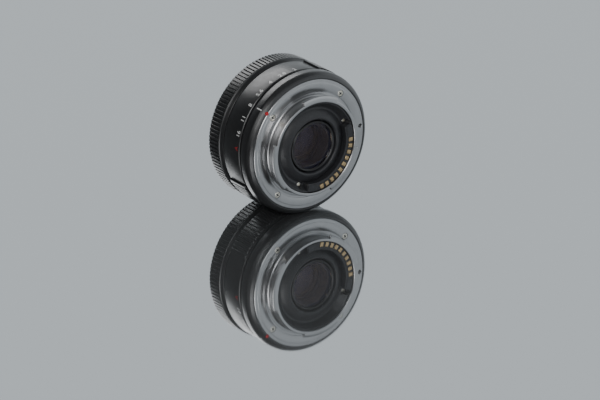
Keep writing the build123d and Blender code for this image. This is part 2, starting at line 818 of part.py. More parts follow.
def motor_bracket():
    """Sheet-metal bridge that carries the motor's nose and the far end of the lead screw."""
    low, high, sheet = motor_front, bracket_front, bracket_sheet
    back = core_bore - sleeve_gap
    open_side = screw_circle - bracket_inset
    middle = (open_side + back) / 2
    size = (back - open_side, bracket_width, sheet)
    body = block(*size, middle, screw_angle, low)
    body += block(*size, middle, screw_angle, high - sheet)
    body += block(sheet, bracket_width, high - low, back - sheet / 2, screw_angle, low)
    body -= rod(motor_radius / 2 + ring_clearance, 0, low + sheet + EMBED,
                screw_circle, screw_angle)
    body -= rod(journal_radius + ring_clearance, 0, THROUGH, screw_circle, screw_angle)
    for z in bracket_screw_heights:
        body -= radial_rod(small_screw[2] + head_gap, core_bore - bracket_inset, core_radius,
                           screw_angle, z)
    return body


def bracket_screws():
    seat = core_bore - sleeve_gap - bracket_sheet
    straight = screw(small_screw, 0, 0, 0, core_radius - seat - 2 * EMBED)
    turn = Rot(0, 0, screw_angle)
    return [turn * Pos(seat, 0, z) * Rot(0, 90, 0) * straight for z in bracket_screw_heights]


def lead_screw():
    """Threaded spindle drawn at its outside radius, with a turned-down journal in front."""
    low, step = core_floor + 3, bracket_front - bracket_sheet - sleeve_gap
    thread = rod(lead_screw_radius, low, step, screw_circle, screw_angle)
    return thread + rod(journal_radius, low, step + journal_length, screw_circle, screw_angle)


def focus_nut():
    body = block(nut_width, nut_width, nut_length, screw_circle, screw_angle, nut_rear)
    return body - rod(lead_screw_radius + nut_gap, 0, THROUGH, screw_circle, screw_angle)


# --- moving optical block ---

def arm(end_radius, width, height, angle, low):
    """Radial rib on the moving barrel, out to a radius."""
    foot = block_bore + EMBED
    return block(end_radius - foot, width, height, (end_radius + foot) / 2, angle, low)


def focus_carriage():
    """Moving barrel with its sleeve on the main rod, its fork on the side rod and its arms."""
    slide = rod_radius + rod_clearance
    web_rear = iris_plane - inner_web
    fork_slot = (6.0, 2 * slide, THROUGH)
    body = ring(block_outer, block_bore, block_rear_end, block_front_end)
    body += ring(block_bore + EMBED, inner_web_hole, web_rear, iris_plane)
    body += rod(rod_radius + rod_sleeve_wall, sleeve_rear, sleeve_front, rod_circle, main_rod_angle)
    body += arm(rod_circle, 2.2, sleeve_front - sleeve_rear, main_rod_angle, sleeve_rear)
    body += arm(rod_circle + 2 * rod_radius, fork_width, fork_length, side_rod_angle, fork_rear)
    body += arm(screw_circle - nut_width / 2, fork_width, nut_length, screw_angle, nut_rear)
    body += arm(home_sensor_circle + 2 * EMBED, flag_thickness, flag_length,
                home_sensor_angle, flag_rear)
    body += arm(pinion_circle + shelf_margin, shelf_width, shelf_thickness,
                pinion_angle, iris_top)
    body -= rod(block_bore, iris_plane, THROUGH)
    body -= rod(slide, 0, THROUGH, rod_circle, main_rod_angle)
    body -= block(*fork_slot, rod_circle + fork_slot[0] / 2 - slide, side_rod_angle, 0)
    body -= rod(pinion_shaft + fit_gap, 0, THROUGH, pinion_circle, pinion_angle)
    window_margin = 1.5          # degrees beside the toothed sector
    body -= arc_piece(block_outer + 1, block_bore - 1, drive_rear - side_clearance, iris_top,
                      sector_start - window_margin, sector_end + iris_turn + window_margin)
    return body


def iris_base():
    """Fixed plate with one pivot hole for each blade."""
    plate = ring(block_bore - glass_gap, iris_hole, iris_plane, iris_plane + iris_plate)
    for blade in range(blade_count):
        plate -= rod(pin_radius + pin_clearance, 0, THROUGH, pivot_circle, blade * 360 / blade_count)
    return plate


def iris_blade(number):
    """Crescent blade with a pivot pin behind and a drive pin in front."""
    low = iris_plane + iris_plate + blade_lift + number * blade_pitch
    thick = blade_thickness
    pin_rear = iris_plane + fit_gap
    pivot, drive = Pos(pivot_circle, 0, 0), Pos(pivot_circle, -drive_arm, 0)
    neck = Pos(pivot_circle - pivot_ear, 1.1, low) * Rot(0, 0, 20)
    body = arc_piece(blade_outer, blade_inner, low, low + thick, 2, blade_reach)
    body += pivot * rod(pivot_ear, low, low + thick)
    body += drive * rod(drive_ear, low, low + thick)
    body += Pos(pivot_circle, -drive_arm / 2, low) * Box(2 * drive_ear, drive_arm, thick, align=BASE)
    body += neck * Box(2.6, 2.2, thick, align=BASE)
    body += pivot * rod(pin_radius, pin_rear, low + thick)
    body += drive * rod(pin_radius, low, drive_front - fit_gap)
    return Rot(0, 0, number * 360 / blade_count) * body


def drive_slot():
    """Slot that keeps the drive pin on its path while ring and blade turn together."""
    steps, spare = 8, 0.06       # spare: share of the motion added at each end
    radius = pin_radius + pin_clearance
    depth = drive_thickness + 2
    centres = []
    for step in range(steps + 1):
        share = (1 + 2 * spare) * step / steps - spare
        swing, turn = radians(blade_swing * share), iris_turn * share
        x = pivot_circle + drive_arm * sin(swing)
        y = -drive_arm * cos(swing)
        centres.append(Rot(0, 0, -turn) * Pos(x, y, drive_rear - 1))
    cutters = [centre * Cylinder(radius, depth, align=BASE) for centre in centres]
    for first, second in zip(centres, centres[1:]):
        a, b = first.position, second.position
        middle = (a + b) / 2
        way = degrees(atan2(b.Y - a.Y, b.X - a.X))
        link = Box((b - a).length, 2 * radius, depth, align=BASE)
        cutters.append(Pos(middle.X, middle.Y, drive_rear - 1) * Rot(0, 0, way) * link)
    return cutters


def gear_teeth(teeth, count, low, high, start=0.0):
    """Outline of `count` narrow teeth on a wheel that would have `teeth` all round."""
    pitch_radius = gear_module * teeth / 2
    foot = pitch_radius - gear_module * tooth_root - EMBED / 2
    tip = pitch_radius + gear_module * tooth_tip
    foot_half, tip_half = root_half_width * gear_module * pi, tip_half_width * gear_module * pi
    outline = Polyline((foot, -foot_half), (tip, -tip_half), (tip, tip_half),
                       (foot, foot_half), close=True)
    tooth = Pos(0, 0, low) * extrude(make_face(outline), high - low)
    return [Rot(0, 0, start + number * 360 / teeth) * tooth for number in range(count)]


def iris_drive_ring():
    """Ring with seven slots and a toothed sector that reaches out to the motor's pinion."""
    drive = ring(block_bore - ring_clearance, drive_inner, drive_rear, drive_front)
    slot_cutters = drive_slot()
    for blade in range(blade_count):
        turn = Rot(0, 0, blade * 360 / blade_count)
        drive -= [turn * cutter for cutter in slot_cutters]
    root = gear_radius - gear_module * tooth_root
    drive += arc_piece(root, block_bore - 2 * EMBED, drive_rear, drive_front,
                       sector_start, sector_end)
    pitch = 360 / sector_teeth
    below = int((pinion_angle - sector_start) / pitch - 0.5)
    above = int((sector_end - pinion_angle) / pitch - 0.5)
    teeth = gear_teeth(sector_teeth, below + above + 1, drive_rear, drive_front,
                       pinion_angle - below * pitch)
    return drive + teeth


def iris_pinion():
    wheel = rod(pinion_pitch_radius - gear_module * tooth_root, drive_rear, drive_front)
    wheel += gear_teeth(pinion_teeth, pinion_teeth, drive_rear, drive_front,
                        180 + 180 / pinion_teeth)
    wheel += rod(pinion_shaft, drive_rear - sleeve_gap, iris_top + 2.3)
    return at(pinion_circle, pinion_angle) * wheel


def iris_motor():
    low = iris_top + shelf_thickness
    can = rod(iris_motor_radius, low, low + iris_motor_length, pinion_circle, pinion_angle)
    return can - rod(pinion_shaft + ring_clearance, 0, low + 2.6, pinion_circle, pinion_angle)


def iris_cover():
    """Front plate of the iris; it keeps the drive ring in place."""
    rear = drive_front + cover_gap
    return ring(block_bore - glass_gap, iris_hole, rear, rear + cover_thickness)


def lens_element(radius, rear, front, rear_bulge, front_bulge):
    """Glass element; a bulge is the height of the surface's middle over its edge."""
    def surface(edge, bulge, way):
        apex = edge + way * bulge
        ball = (radius ** 2 + bulge ** 2) / (2 * abs(bulge))
        drop = ball - sqrt(ball ** 2 - (radius / 2) ** 2)
        middle = apex - way * drop * (1 if bulge > 0 else -1)
        return ThreePointArc((radius, edge), (radius / 2, middle), (0, apex))
    back = surface(rear, rear_bulge, -1)
    face = surface(front, front_bulge, 1)
    rim = Line((radius, rear), (radius, front))
    axis = Line((0, rear - rear_bulge), (0, front + front_bulge))
    return revolve(make_face([Plane.XZ * edge for edge in (back, face, rim, axis)]), Axis.Z)


def seat_radius(name):
    """Bore that a glass element drops into."""
    return elements[name][0] + glass_gap


def without_glass(body, *names):
    """Keeps a cell or ring clear of the curved faces of its elements."""
    for name in names:
        body -= lens_element(*elements[name])
    return body


def rear_cell():
    """Stepped tube for the four rear elements; its narrow end stands in the baffle's hole."""
    narrow = light_throat - 2 * edge_break
    front = iris_plane - inner_web - glass_gap
    body = turned([
        (0, cell_rear), (narrow - fine_break, cell_rear), (narrow, cell_rear + fine_break),
        (narrow, cell_shoulder), (cell_radius, cell_shoulder), (cell_radius, front), (0, front)])
    seventh, sixth, fifth = (elements[name] for name in (
        "seventh_element", "sixth_element", "fifth_element"))
    body -= rod(seat_radius("rear_element"), -THROUGH, elements["rear_element"][2])
    body -= rod(seat_radius("seventh_element") - seat_lip, -THROUGH, seventh[1])
    body -= rod(seat_radius("seventh_element"), seventh[1] - spacer_length, seventh[2])
    body -= rod(seat_radius("sixth_element") - seat_lip, 0, sixth[1])
    body -= rod(seat_radius("sixth_element"), sixth[1], sixth[2])
    body -= rod(seat_radius("fifth_element") - seat_lip, 0, fifth[1])
    body -= rod(seat_radius("fifth_element"), fifth[1], THROUGH)
    return without_glass(body, "rear_element", "seventh_element", "sixth_element", "fifth_element")


def rear_retaining_ring():
    outer, edge = seat_radius("rear_element"), elements["rear_element"][1]
    rear, inner = cell_rear + glass_gap, outer - rear_ring_wall
    retainer = turned([
        (inner, rear + edge_break), (inner + edge_break, rear), (outer, rear),
        (outer, edge), (inner, edge)])
    return without_glass(retainer, "rear_element")


def seventh_spacer():
    """Ring that keeps the seventh element on its seat."""
    outer, edge = seat_radius("seventh_element"), elements["seventh_element"][1]
    spacer = ring(outer, outer - spacer_wall, edge - spacer_length + fit_gap, edge)
    return without_glass(spacer, "seventh_element")


def front_cell():
    """Stepped tube for the three front elements, screwed into the moving barrel."""
    shoulder, rear = block_front_end, iris_top + 0.6
    step, face = shoulder + cell_shoulder_thickness, front_cell_front
    body = turned([
        (0, rear), (cell_radius, rear), (cell_radius, shoulder), (block_outer, shoulder),
        (block_outer, step), (front_cell_radius, step), (front_cell_radius, face - edge_break),
        (front_cell_radius - edge_break, face), (0, face)])
    second, third = elements["second_element"], elements["third_element"]
    body -= rod(seat_radius("third_element") - seat_lip, 0, THROUGH)
    body -= rod(seat_radius("third_element"), third[1], THROUGH)
    body -= rod(seat_radius("second_element"), second[1], THROUGH)
    body -= rod(seat_radius("front_element") - spacer_wall, second[2] + EMBED, THROUGH)
    body -= rod(seat_radius("front_element"), elements["front_element"][1], THROUGH)
    return without_glass(body, "third_element", "second_element", "front_element")


def front_retaining_ring():
    outer, edge = seat_radius("front_element"), elements["front_element"][2]
    face = edge + front_ring_height
    retainer = turned([
        (outer - front_ring_wall, edge), (outer, edge), (outer, face), (outer - EMBED, face)])
    return without_glass(retainer, "front_element")


def third_spacer():
    """Ring between the third element and the step of the second element's seat."""
    outer, edge = seat_radius("third_element"), elements["third_element"][2]
    spacer = ring(outer, outer - spacer_wall, edge, elements["second_element"][1] - glass_gap)
    return without_glass(spacer, "third_element")


os.makedirs("parts", exist_ok=True)
pieces = {
    "bayonet_mount": bayonet_mount(),
    "flange_screws": flange_screws(),
    "rear_barrel": rear_barrel(),
    "index_bead": index_bead(),
    "aperture_ring": aperture_ring(),
    "focus_ring": focus_ring(),
    "focus_encoder_strip": focus_encoder_strip(),
    "aperture_code_strip": aperture_code_strip(),
    "stop_pin": stop_pin(),
    "click_ball": click_ball(),
    "click_spring": click_spring(),
    "ring_shims": ring_shims(),
    "main_barrel": main_barrel(),
    "front_plate": front_plate(),
    "filter_ring": filter_ring(),
    "front_ring_screws": front_ring_screws(),
    "name_ring": name_ring(),
    "rear_baffle": rear_baffle(),
    "baffle_screws": baffle_screws(),
    "contact_block": contact_block(),
    "contact_pins": contact_pins(),
    "contact_flex": contact_flex(),
    "main_board": main_board(),
    "board_chips": board_chips(),
    "ring_sensor": ring_sensor(),
    "aperture_brush": aperture_brush(),
    "home_sensor": home_sensor(),
    "guide_rods": guide_rods(),
    "focus_motor": focus_motor(),
    "motor_bracket": motor_bracket(),
    "inner_screws": group(board_screws() + bracket_screws()),
    "lead_screw": lead_screw(),
    "focus_nut": focus_nut(),
    "focus_carriage": focus_carriage(),
    "iris_base": iris_base(),
    "iris_drive_ring": iris_drive_ring(),
    "iris_cover": iris_cover(),
    "iris_pinion": iris_pinion(),
    "iris_motor": iris_motor(),
    "rear_cell": rear_cell(),
    "rear_retaining_ring": rear_retaining_ring(),
    "seventh_spacer": seventh_spacer(),
    "front_cell": front_cell(),
    "front_retaining_ring": front_retaining_ring(),
    "third_spacer": third_spacer(),
}
for number in range(blade_count):
    pieces[f"iris_blade_{number + 1}"] = iris_blade(number)
for name, size in elements.items():
    pieces[name] = lens_element(*size)
for name, piece in pieces.items():
    export_piece(piece, name)
print(len(pieces), "pieces, length", round(lens_front + bayonet_length, 2))
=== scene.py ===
from math import atan2, cos, hypot, pi, radians, sin
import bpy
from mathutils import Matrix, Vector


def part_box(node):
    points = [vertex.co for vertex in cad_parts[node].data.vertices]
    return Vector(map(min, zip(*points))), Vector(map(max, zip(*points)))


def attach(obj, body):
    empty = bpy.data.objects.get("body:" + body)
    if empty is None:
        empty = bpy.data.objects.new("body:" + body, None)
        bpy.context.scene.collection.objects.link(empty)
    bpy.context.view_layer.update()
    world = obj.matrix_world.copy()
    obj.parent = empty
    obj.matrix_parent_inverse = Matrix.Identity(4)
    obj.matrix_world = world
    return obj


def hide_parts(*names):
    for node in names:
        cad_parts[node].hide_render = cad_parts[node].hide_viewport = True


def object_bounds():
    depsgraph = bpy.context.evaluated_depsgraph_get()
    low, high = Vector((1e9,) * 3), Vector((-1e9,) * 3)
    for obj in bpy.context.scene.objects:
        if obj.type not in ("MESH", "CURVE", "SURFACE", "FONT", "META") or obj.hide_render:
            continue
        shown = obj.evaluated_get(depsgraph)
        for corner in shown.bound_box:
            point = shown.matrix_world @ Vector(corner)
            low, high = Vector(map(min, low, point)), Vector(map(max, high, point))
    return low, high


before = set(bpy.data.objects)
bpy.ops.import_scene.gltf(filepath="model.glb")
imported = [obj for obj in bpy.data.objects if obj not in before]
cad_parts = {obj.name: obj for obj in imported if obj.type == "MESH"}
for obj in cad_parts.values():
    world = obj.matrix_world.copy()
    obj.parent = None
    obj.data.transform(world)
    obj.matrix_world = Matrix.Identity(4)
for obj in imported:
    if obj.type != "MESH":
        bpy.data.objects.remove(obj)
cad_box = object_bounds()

from types import SimpleNamespace

import bpy
from bpy.props import FloatProperty, FloatVectorProperty, IntProperty, PointerProperty
from mathutils import Matrix, Vector

bl_info = {
    "name": "Mirrorless Prime Lens",
    "version": (1, 0, 0),
    "blender": (4, 5, 0),
    "location": "View3D > Sidebar > Lens",
    "description": "Outer pieces and finishes of a wide prime lens, lying on its rim",
    "category": "Add Mesh",
}

# Pieces are modelled in millimetres on the lens's own axis: +Z towards the subject,
# +X towards the index mark, the flange face at Z = 0, angles in degrees anticlockwise
# as seen from the front. `finish` then turns each one into the frame, in metres.
MM = 0.001
INDEX_DIRECTION = radians(139.0)
LENS = Matrix((
    (cos(INDEX_DIRECTION), sin(INDEX_DIRECTION), 0, 0),
    (0, 0, 1, 0),
    (sin(INDEX_DIRECTION), -cos(INDEX_DIRECTION), 0, 0),
    (0, 0, 0, 1)))
ROUND_STEPS = 288
FINE_STEPS = 464
SMALL_STEPS = 40
MERGE = 1e-7
SMOOTH_ANGLE = radians(32)
PAINT_PROUD = 0.012
PAINT_THICKNESS = 0.03

FINISHES = {}

FLANGE_SCREW_ANGLES = (0, 90, 180, 270)
LUG_SPANS = ((32.5, 80.0), (152.0, 208.0), (277.5, 334.5))
GRIP_SPANS = ((70.0, 133.0), (-133.0, -70.0))
BAFFLE_SCREWS = ((18.8, 115.5), (17.9, 251.5))
HOOD_LUGS = (60, 180, 300)
HOOD_LUG_SWEEP = 20
CONTACT_SPAN = (119.5, 242.5)
CONTACT_CENTRE = 180.0
CONTACT_PITCH = 8.61


def span(node):
    """Rear and front end of a CAD node along the optical axis, in millimetres."""
    low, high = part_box(node)
    return low.y / MM, high.y / MM


# --- sizes and colours ---

def length(name, description, value):
    return FloatProperty(name=name, description=description, default=value * MM,
                         min=0.0, unit="LENGTH", precision=5)


def colour(name, description, value):
    return FloatVectorProperty(name=name, description=description, default=value,
                               size=3, min=0.0, max=1.0, subtype="COLOR")


class LensSizes(bpy.types.PropertyGroup):
    """Sizes of the outer pieces."""
    flange_radius: length("Flange radius", "Outside of the metal flange", 29.25)
    barrel_radius: length("Barrel radius", "Rear barrel and focus ring", 32.0)
    aperture_radius: length("Aperture ring radius", "Smooth part of the aperture ring", 31.4)
    grip_radius: length("Grip radius", "Top of the aperture ring's two grips", 32.25)
    sleeve_radius: length("Sleeve radius", "Floor of the groove behind the aperture ring", 30.33)
    ring_bore: length("Ring bore", "Bore of both turning rings", 28.98)
    throat_radius: length("Throat radius", "Bore of the bayonet", 20.45)
    bayonet_radius: length("Bayonet radius", "Outside of the bayonet's tube", 21.8)
    lug_radius: length("Lug radius", "Outside of the three bayonet lugs", 23.2)
    lug_thickness: length("Lug thickness", "Bayonet lug along the axis", 1.7)
    root_radius: length("Root ring radius", "Ring at the foot of the bayonet", 23.05)
    relief_radius: length("Relief radius", "Outside of the groove round the root ring", 24.1)
    land_radius: length("Land radius", "Edge of the raised seat on the flange", 27.5)
    screw_circle: length("Screw circle", "Circle of the flange screws", 25.7)
    screw_head: length("Screw head radius", "Head of a flange screw", 1.35)
    pin_circle: length("Lock hole circle", "Circle of the lock pin's hole", 27.5)
    pin_radius: length("Lock hole radius", "Hole for the camera's lock pin", 0.9)
    bead_radius: length("Bead radius", "Red mounting mark", 0.85)
    bead_circle: length("Bead circle", "Circle of the mounting mark", 29.55)
    groove_depth: length("Grip groove depth", "Depth of a grip's grooves", 0.52)
    groove_width: length("Grip groove width", "Width of a grip's grooves", 0.62)
    lip_length: length("Focus lip", "Plain cone behind the focus ring's grooves", 1.7)
    baffle_radius: length("Baffle radius", "Outside of the rear baffle", 20.35)
    hump_radius: length("Hump radius", "Crest of the baffle's hump", 13.0)
    hump_height: length("Hump height", "Crest of the hump behind the flange", 3.6)
    light_throat: length("Light throat", "Opening in the rear baffle", 11.9)
    block_inner: length("Contact block inner radius", "Inside of the contact block", 16.5)
    contact_circle: length("Contact circle", "Circle of the gold contacts", 19.0)
    contact_width: length("Contact width", "Gold contact along the circle", 1.75)
    contact_depth: length("Contact depth", "Gold contact across the circle", 2.1)
    neck_radius: length("Neck radius", "Hood bayonet's neck", 27.6)
    front_flange_radius: length("Front flange radius", "Plate in front of the focus ring", 30.4)
    filter_radius: length("Filter thread radius", "Crest of the filter thread", 25.6)
    filter_pitch: length("Filter thread pitch", "Pitch of the filter thread", 0.75)
    digit_height: length("Digit height", "Figures of the aperture scale", 2.1)
    groove_count: IntProperty(name="Grooves", description="Grooves round the focus ring",
                              default=116, min=40, max=240)
    contact_count: IntProperty(name="Contacts", description="Gold contacts",
                               default=10, min=1, max=12)


class LensColours(bpy.types.PropertyGroup):
    """Colours of the finishes."""
    black: colour("Anodised black", "Rings and barrel", (0.016, 0.0165, 0.0175))
    chrome: colour("Chrome", "Bayonet mount", (0.48, 0.48, 0.485))
    plastic: colour("Black plastic", "Rear baffle and contact block", (0.024, 0.0245, 0.027))
    gold: colour("Gold", "Contacts", (0.62, 0.46, 0.26))
    steel: colour("Steel", "Screws and rods", (0.50, 0.49, 0.47))
    paint: colour("White paint", "Figures and index line", (0.92, 0.92, 0.90))
    red: colour("Red", "Mounting mark and automatic setting", (0.62, 0.012, 0.02))
    glass: colour("Glass", "Lens elements", (0.76, 0.76, 0.78))
    floor: colour("Floor", "Pale studio floor", (0.62, 0.635, 0.645))


def sizes():
    """The panel's sizes in millimetres, and its counts."""
    group = bpy.context.scene.lens_sizes
    values = {}
    for name in LensSizes.__annotations__:
        value = getattr(group, name)
        values[name] = value if isinstance(value, int) else value / MM
    return SimpleNamespace(**values)


# --- modelling ---

def deselect():
    bpy.ops.object.select_all(action="DESELECT")


def pick(piece):
    """Makes a piece the only selected one."""
    deselect()
    piece.select_set(True)
    bpy.context.view_layer.objects.active = piece


def edit(piece):
    pick(piece)
    bpy.ops.object.mode_set(mode="EDIT")
    bpy.ops.mesh.select_all(action="SELECT")


def close_edit():
    """Merges what meets, turns the faces outwards and leaves edit mode."""
    bpy.ops.mesh.select_all(action="SELECT")
    bpy.ops.mesh.remove_doubles(threshold=MERGE)
    bpy.ops.mesh.normals_make_consistent(inside=False)
    bpy.ops.object.mode_set(mode="OBJECT")


def turned(name, outline, start=0.0, sweep=360.0, steps=ROUND_STEPS):
    """Spins a closed outline of (radius, z) points about the optical axis."""
    deselect()
    bpy.ops.mesh.primitive_circle_add(vertices=len(outline), radius=MM)
    piece = bpy.context.object
    piece.name = name
    turn = Matrix.Rotation(radians(start), 4, "Z")
    for vertex, (radius, z) in zip(piece.data.vertices, outline):
        vertex.co = turn @ Vector((radius * MM, 0, z * MM))
    edit(piece)
    if sweep < 360:
        bpy.ops.mesh.edge_face_add()
    bpy.ops.mesh.spin(steps=steps, angle=-radians(sweep), center=(0, 0, 0), axis=(0, 0, 1))
    close_edit()
    return piece


def bevel(piece, width, segments=2, angle=30):
    """Rounds every edge that is sharper than `angle`."""
    pick(piece)
    modifier = piece.modifiers.new("rounded edges", "BEVEL")
    modifier.width = width * MM
    modifier.segments = segments
    modifier.limit_method = "ANGLE"
    modifier.angle_limit = radians(angle)
    bpy.ops.object.modifier_apply(modifier=modifier.name)
    return piece


def combine(piece, other, operation):
    """Boolean of two pieces; the other one is used up."""
    pick(piece)
    modifier = piece.modifiers.new("combine", "BOOLEAN")
    modifier.object = other
    modifier.operation = operation
    modifier.solver = "EXACT"
    bpy.ops.object.modifier_apply(modifier=modifier.name)
    bpy.data.objects.remove(other)
    return piece


def cut(piece, other):
    return combine(piece, other, "DIFFERENCE")


def unite(piece, other):
    return combine(piece, other, "UNION")


def move(piece, circle=0.0, angle=0.0, z=0.0):
    """Moves a piece from the axis out to a place on a circle."""
    pick(piece)
    piece.matrix_world = Matrix.Rotation(radians(angle), 4, "Z") @ Matrix.Translation(
        (circle * MM, 0, z * MM))
    bpy.ops.object.transform_apply(location=True, rotation=True, scale=True)
    return piece


def copy_to(piece, places):
    """Puts a copy of a piece at each (circle, angle, z) and joins them; the model goes."""
    copies = []
    for circle, angle, z in places:
        pick(piece)
        bpy.ops.object.duplicate()
        copies.append(move(bpy.context.object, circle, angle, z))
    name = piece.name
    bpy.data.objects.remove(piece)
    deselect()
    for item in copies:
        item.select_set(True)
    bpy.context.view_layer.objects.active = copies[0]
    bpy.ops.object.join()
    joined = bpy.context.object
    joined.name = name
    return joined


def box(name, depth, width, height, z=0.0, taper=1.0):
    """Box on the axis, from z upwards; taper shrinks its far end."""
    deselect()
    bpy.ops.mesh.primitive_cube_add(size=MM, location=(0, 0, (z + height / 2) * MM))
    piece = bpy.context.object
    piece.name = name
    piece.scale = (depth, width, height)
    bpy.ops.object.transform_apply(location=True, rotation=True, scale=True)
    for vertex in piece.data.vertices:
        if vertex.co.z > (z + height / 2) * MM:
            vertex.co.x *= taper
            vertex.co.y *= taper
    return piece


def arc_through(first, middle, last, count):
    """Points on the circle through three outline points, without the last one."""
    (ax, ay), (bx, by), (cx, cy) = first, middle, last
    area = 2 * (ax * (by - cy) + bx * (cy - ay) + cx * (ay - by))
    squares = [x * x + y * y for x, y in (first, middle, last)]
    ux = (squares[0] * (by - cy) + squares[1] * (cy - ay) + squares[2] * (ay - by)) / area
    uy = (squares[0] * (cx - bx) + squares[1] * (ax - cx) + squares[2] * (bx - ax)) / area
    radius = hypot(ax - ux, ay - uy)
    begin = atan2(ay - uy, ax - ux)
    half = (atan2(by - uy, bx - ux) - begin + pi) % (2 * pi) - pi
    rest = (atan2(cy - uy, cx - ux) - begin - half + pi) % (2 * pi) - pi
    sweep = half + rest
    return [(ux + radius * cos(begin + sweep * k / count),
             uy + radius * sin(begin + sweep * k / count)) for k in range(count)]


def groove_cutters(radius, depth, width, low, high, angles):
    """Round-ended cutters with a flared mouth, one at each angle."""
    flare = 0.09
    margin = 0.6
    corners = 14
    deselect()
    bpy.ops.mesh.primitive_circle_add(
        vertices=corners, radius=width / 2 * MM, fill_type="NGON",
        location=((radius - depth) * MM, 0, (low + width / 2) * MM), rotation=(0, pi / 2, 0))
    cutter = bpy.context.object
    bpy.ops.object.transform_apply(location=True, rotation=True, scale=True)
    middle = (low + width / 2) * MM
    for vertex in cutter.data.vertices:
        if vertex.co.z > middle:
            vertex.co.z += (high - low - width) * MM
    edit(cutter)
    centre = (0, 0, (low + high) / 2 * MM)
    wider = (1, (width + 2 * flare) / width, (high - low + 2 * flare) / (high - low))
    for distance, grow in ((depth - flare, None), (flare, wider), (margin, None)):
        bpy.ops.mesh.extrude_region_move(TRANSFORM_OT_translate={"value": (distance * MM, 0, 0)})
        if grow:
            bpy.ops.transform.resize(value=grow, center_override=centre)
    close_edit()
    return copy_to(cutter, [(0, angle, 0) for angle in angles])


def finish(piece, body, slot, *nodes, look=None):
    """Turns a piece into the frame, gives it its slot's look or another, and lets it ride."""
    pick(piece)
    piece.matrix_world = LENS
    bpy.ops.object.transform_apply(location=True, rotation=True, scale=True)
    bpy.ops.object.shade_smooth_by_angle(angle=SMOOTH_ANGLE)
    piece.data.materials.clear()
    piece.data.materials.append(FINISHES[look or slot])
    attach(piece, body)
    if nodes:
        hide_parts(*nodes)
    return piece


# --- finishes ---

class Finish:
    """A material's nodes. Patterns are sized in millimetres on the object's own place."""

    def __init__(self, name, base, roughness, metallic=0.0, **constants):
        self.material = bpy.data.materials.new(name)
        self.material.use_nodes = True
        self.tree = self.material.node_tree
        self.shader = self.tree.nodes["Principled BSDF"]
        self.base = (*base, 1.0)
        self.roughness = roughness
        self.shader.inputs["Base Color"].default_value = self.base
        self.shader.inputs["Roughness"].default_value = roughness
        self.shader.inputs["Metallic"].default_value = metallic
        for socket, value in constants.items():
            self.shader.inputs[socket.replace("_", " ")].default_value = value
        self.place = self.add("ShaderNodeTexCoord").outputs["Object"]
        self.heights = []
        self.material.diffuse_color = self.base

    def add(self, kind, **settings):
        node = self.tree.nodes.new(kind)
        for name, value in settings.items():
            setattr(node, name, value)
        return node

    def join(self, output, socket):
        self.tree.links.new(output, socket)

    def noise(self, size, detail=2.0, place=None):
        """Noise whose cells are `size` millimetres, on the object's own place."""
        noise = self.add("ShaderNodeTexNoise")
        noise.inputs["Scale"].default_value = 1 / (size * MM)
        noise.inputs["Detail"].default_value = detail
        self.join(place or self.place, noise.inputs["Vector"])
        return noise.outputs["Fac"]

    def rings(self, size, detail=3.0):
        """Uneven rings about the optical axis, as a lathe leaves them."""
        split = self.add("ShaderNodeSeparateXYZ")
        self.join(self.place, split.inputs["Vector"])
        flat = self.add("ShaderNodeCombineXYZ")
        self.join(split.outputs["X"], flat.inputs["X"])
        self.join(split.outputs["Z"], flat.inputs["Z"])
        radius = self.add("ShaderNodeVectorMath", operation="LENGTH")
        self.join(flat.outputs["Vector"], radius.inputs[0])
        both = self.add("ShaderNodeCombineXYZ")
        self.join(radius.outputs["Value"], both.inputs["X"])
        self.join(split.outputs["Y"], both.inputs["Y"])
        return self.noise(size, detail, both.outputs["Vector"])

    def spread(self, value, low, high, start=0.3, end=0.7):
        """Maps a pattern's start to end on to low to high."""
        ramp = self.add("ShaderNodeMapRange")
        ramp.inputs["From Min"].default_value = start
        ramp.inputs["From Max"].default_value = end
        ramp.inputs["To Min"].default_value = low
        ramp.inputs["To Max"].default_value = high
        self.join(value, ramp.inputs["Value"])
        return ramp.outputs["Result"]

    def vary_roughness(self, pattern, amount):
        spread = self.spread(pattern, self.roughness - amount, self.roughness + amount)
        self.join(spread, self.shader.inputs["Roughness"])
        return self

    def vary_colour(self, pattern, other, start=0.35, end=0.7):
        mix = self.add("ShaderNodeMix", data_type="RGBA")
        mix.inputs[6].default_value = self.base
        mix.inputs[7].default_value = (*other, 1.0)
        self.join(self.spread(pattern, 0.0, 1.0, start, end), mix.inputs[0])
        self.join(mix.outputs[2], self.shader.inputs["Base Color"])
        return self

    def grain(self, pattern, depth):
        """Raises the surface by the pattern, `depth` millimetres from low to high."""
        bump = self.add("ShaderNodeBump")
        bump.inputs["Distance"].default_value = depth * MM
        self.join(pattern, bump.inputs["Height"])
        if self.heights:
            self.join(self.heights[-1], bump.inputs["Normal"])
        self.heights.append(bump.outputs["Normal"])
        self.join(bump.outputs["Normal"], self.shader.inputs["Normal"])
        return self


def anodised_black(tint):
    finish = Finish("anodised black", tint, 0.33, Specular_IOR_Level=0.9)
    finish.vary_roughness(finish.noise(2.5), 0.035)
    finish.vary_colour(finish.noise(0.6, 4.0), [value * 1.5 for value in tint])
    finish.grain(finish.noise(0.09), 0.006)
    return finish.grain(finish.rings(0.12), 0.0025).material


def mount_chrome(tint):
    finish = Finish("turned chrome", tint, 0.3, 1.0)
    finish.vary_roughness(finish.rings(0.35), 0.04)
    finish.vary_colour(finish.noise(5.0, 3.0), [value * 0.92 for value in tint], 0.4, 0.75)
    return finish.grain(finish.rings(0.09), 0.0016).material


def moulded_plastic(name, tint, roughness=0.4):
    finish = Finish(name, tint, roughness)
    finish.vary_roughness(finish.noise(1.5), 0.06)
    finish.vary_colour(finish.noise(0.5, 4.0), [value * 1.6 for value in tint])
    return finish.grain(finish.noise(0.12, 3.0), 0.012).material


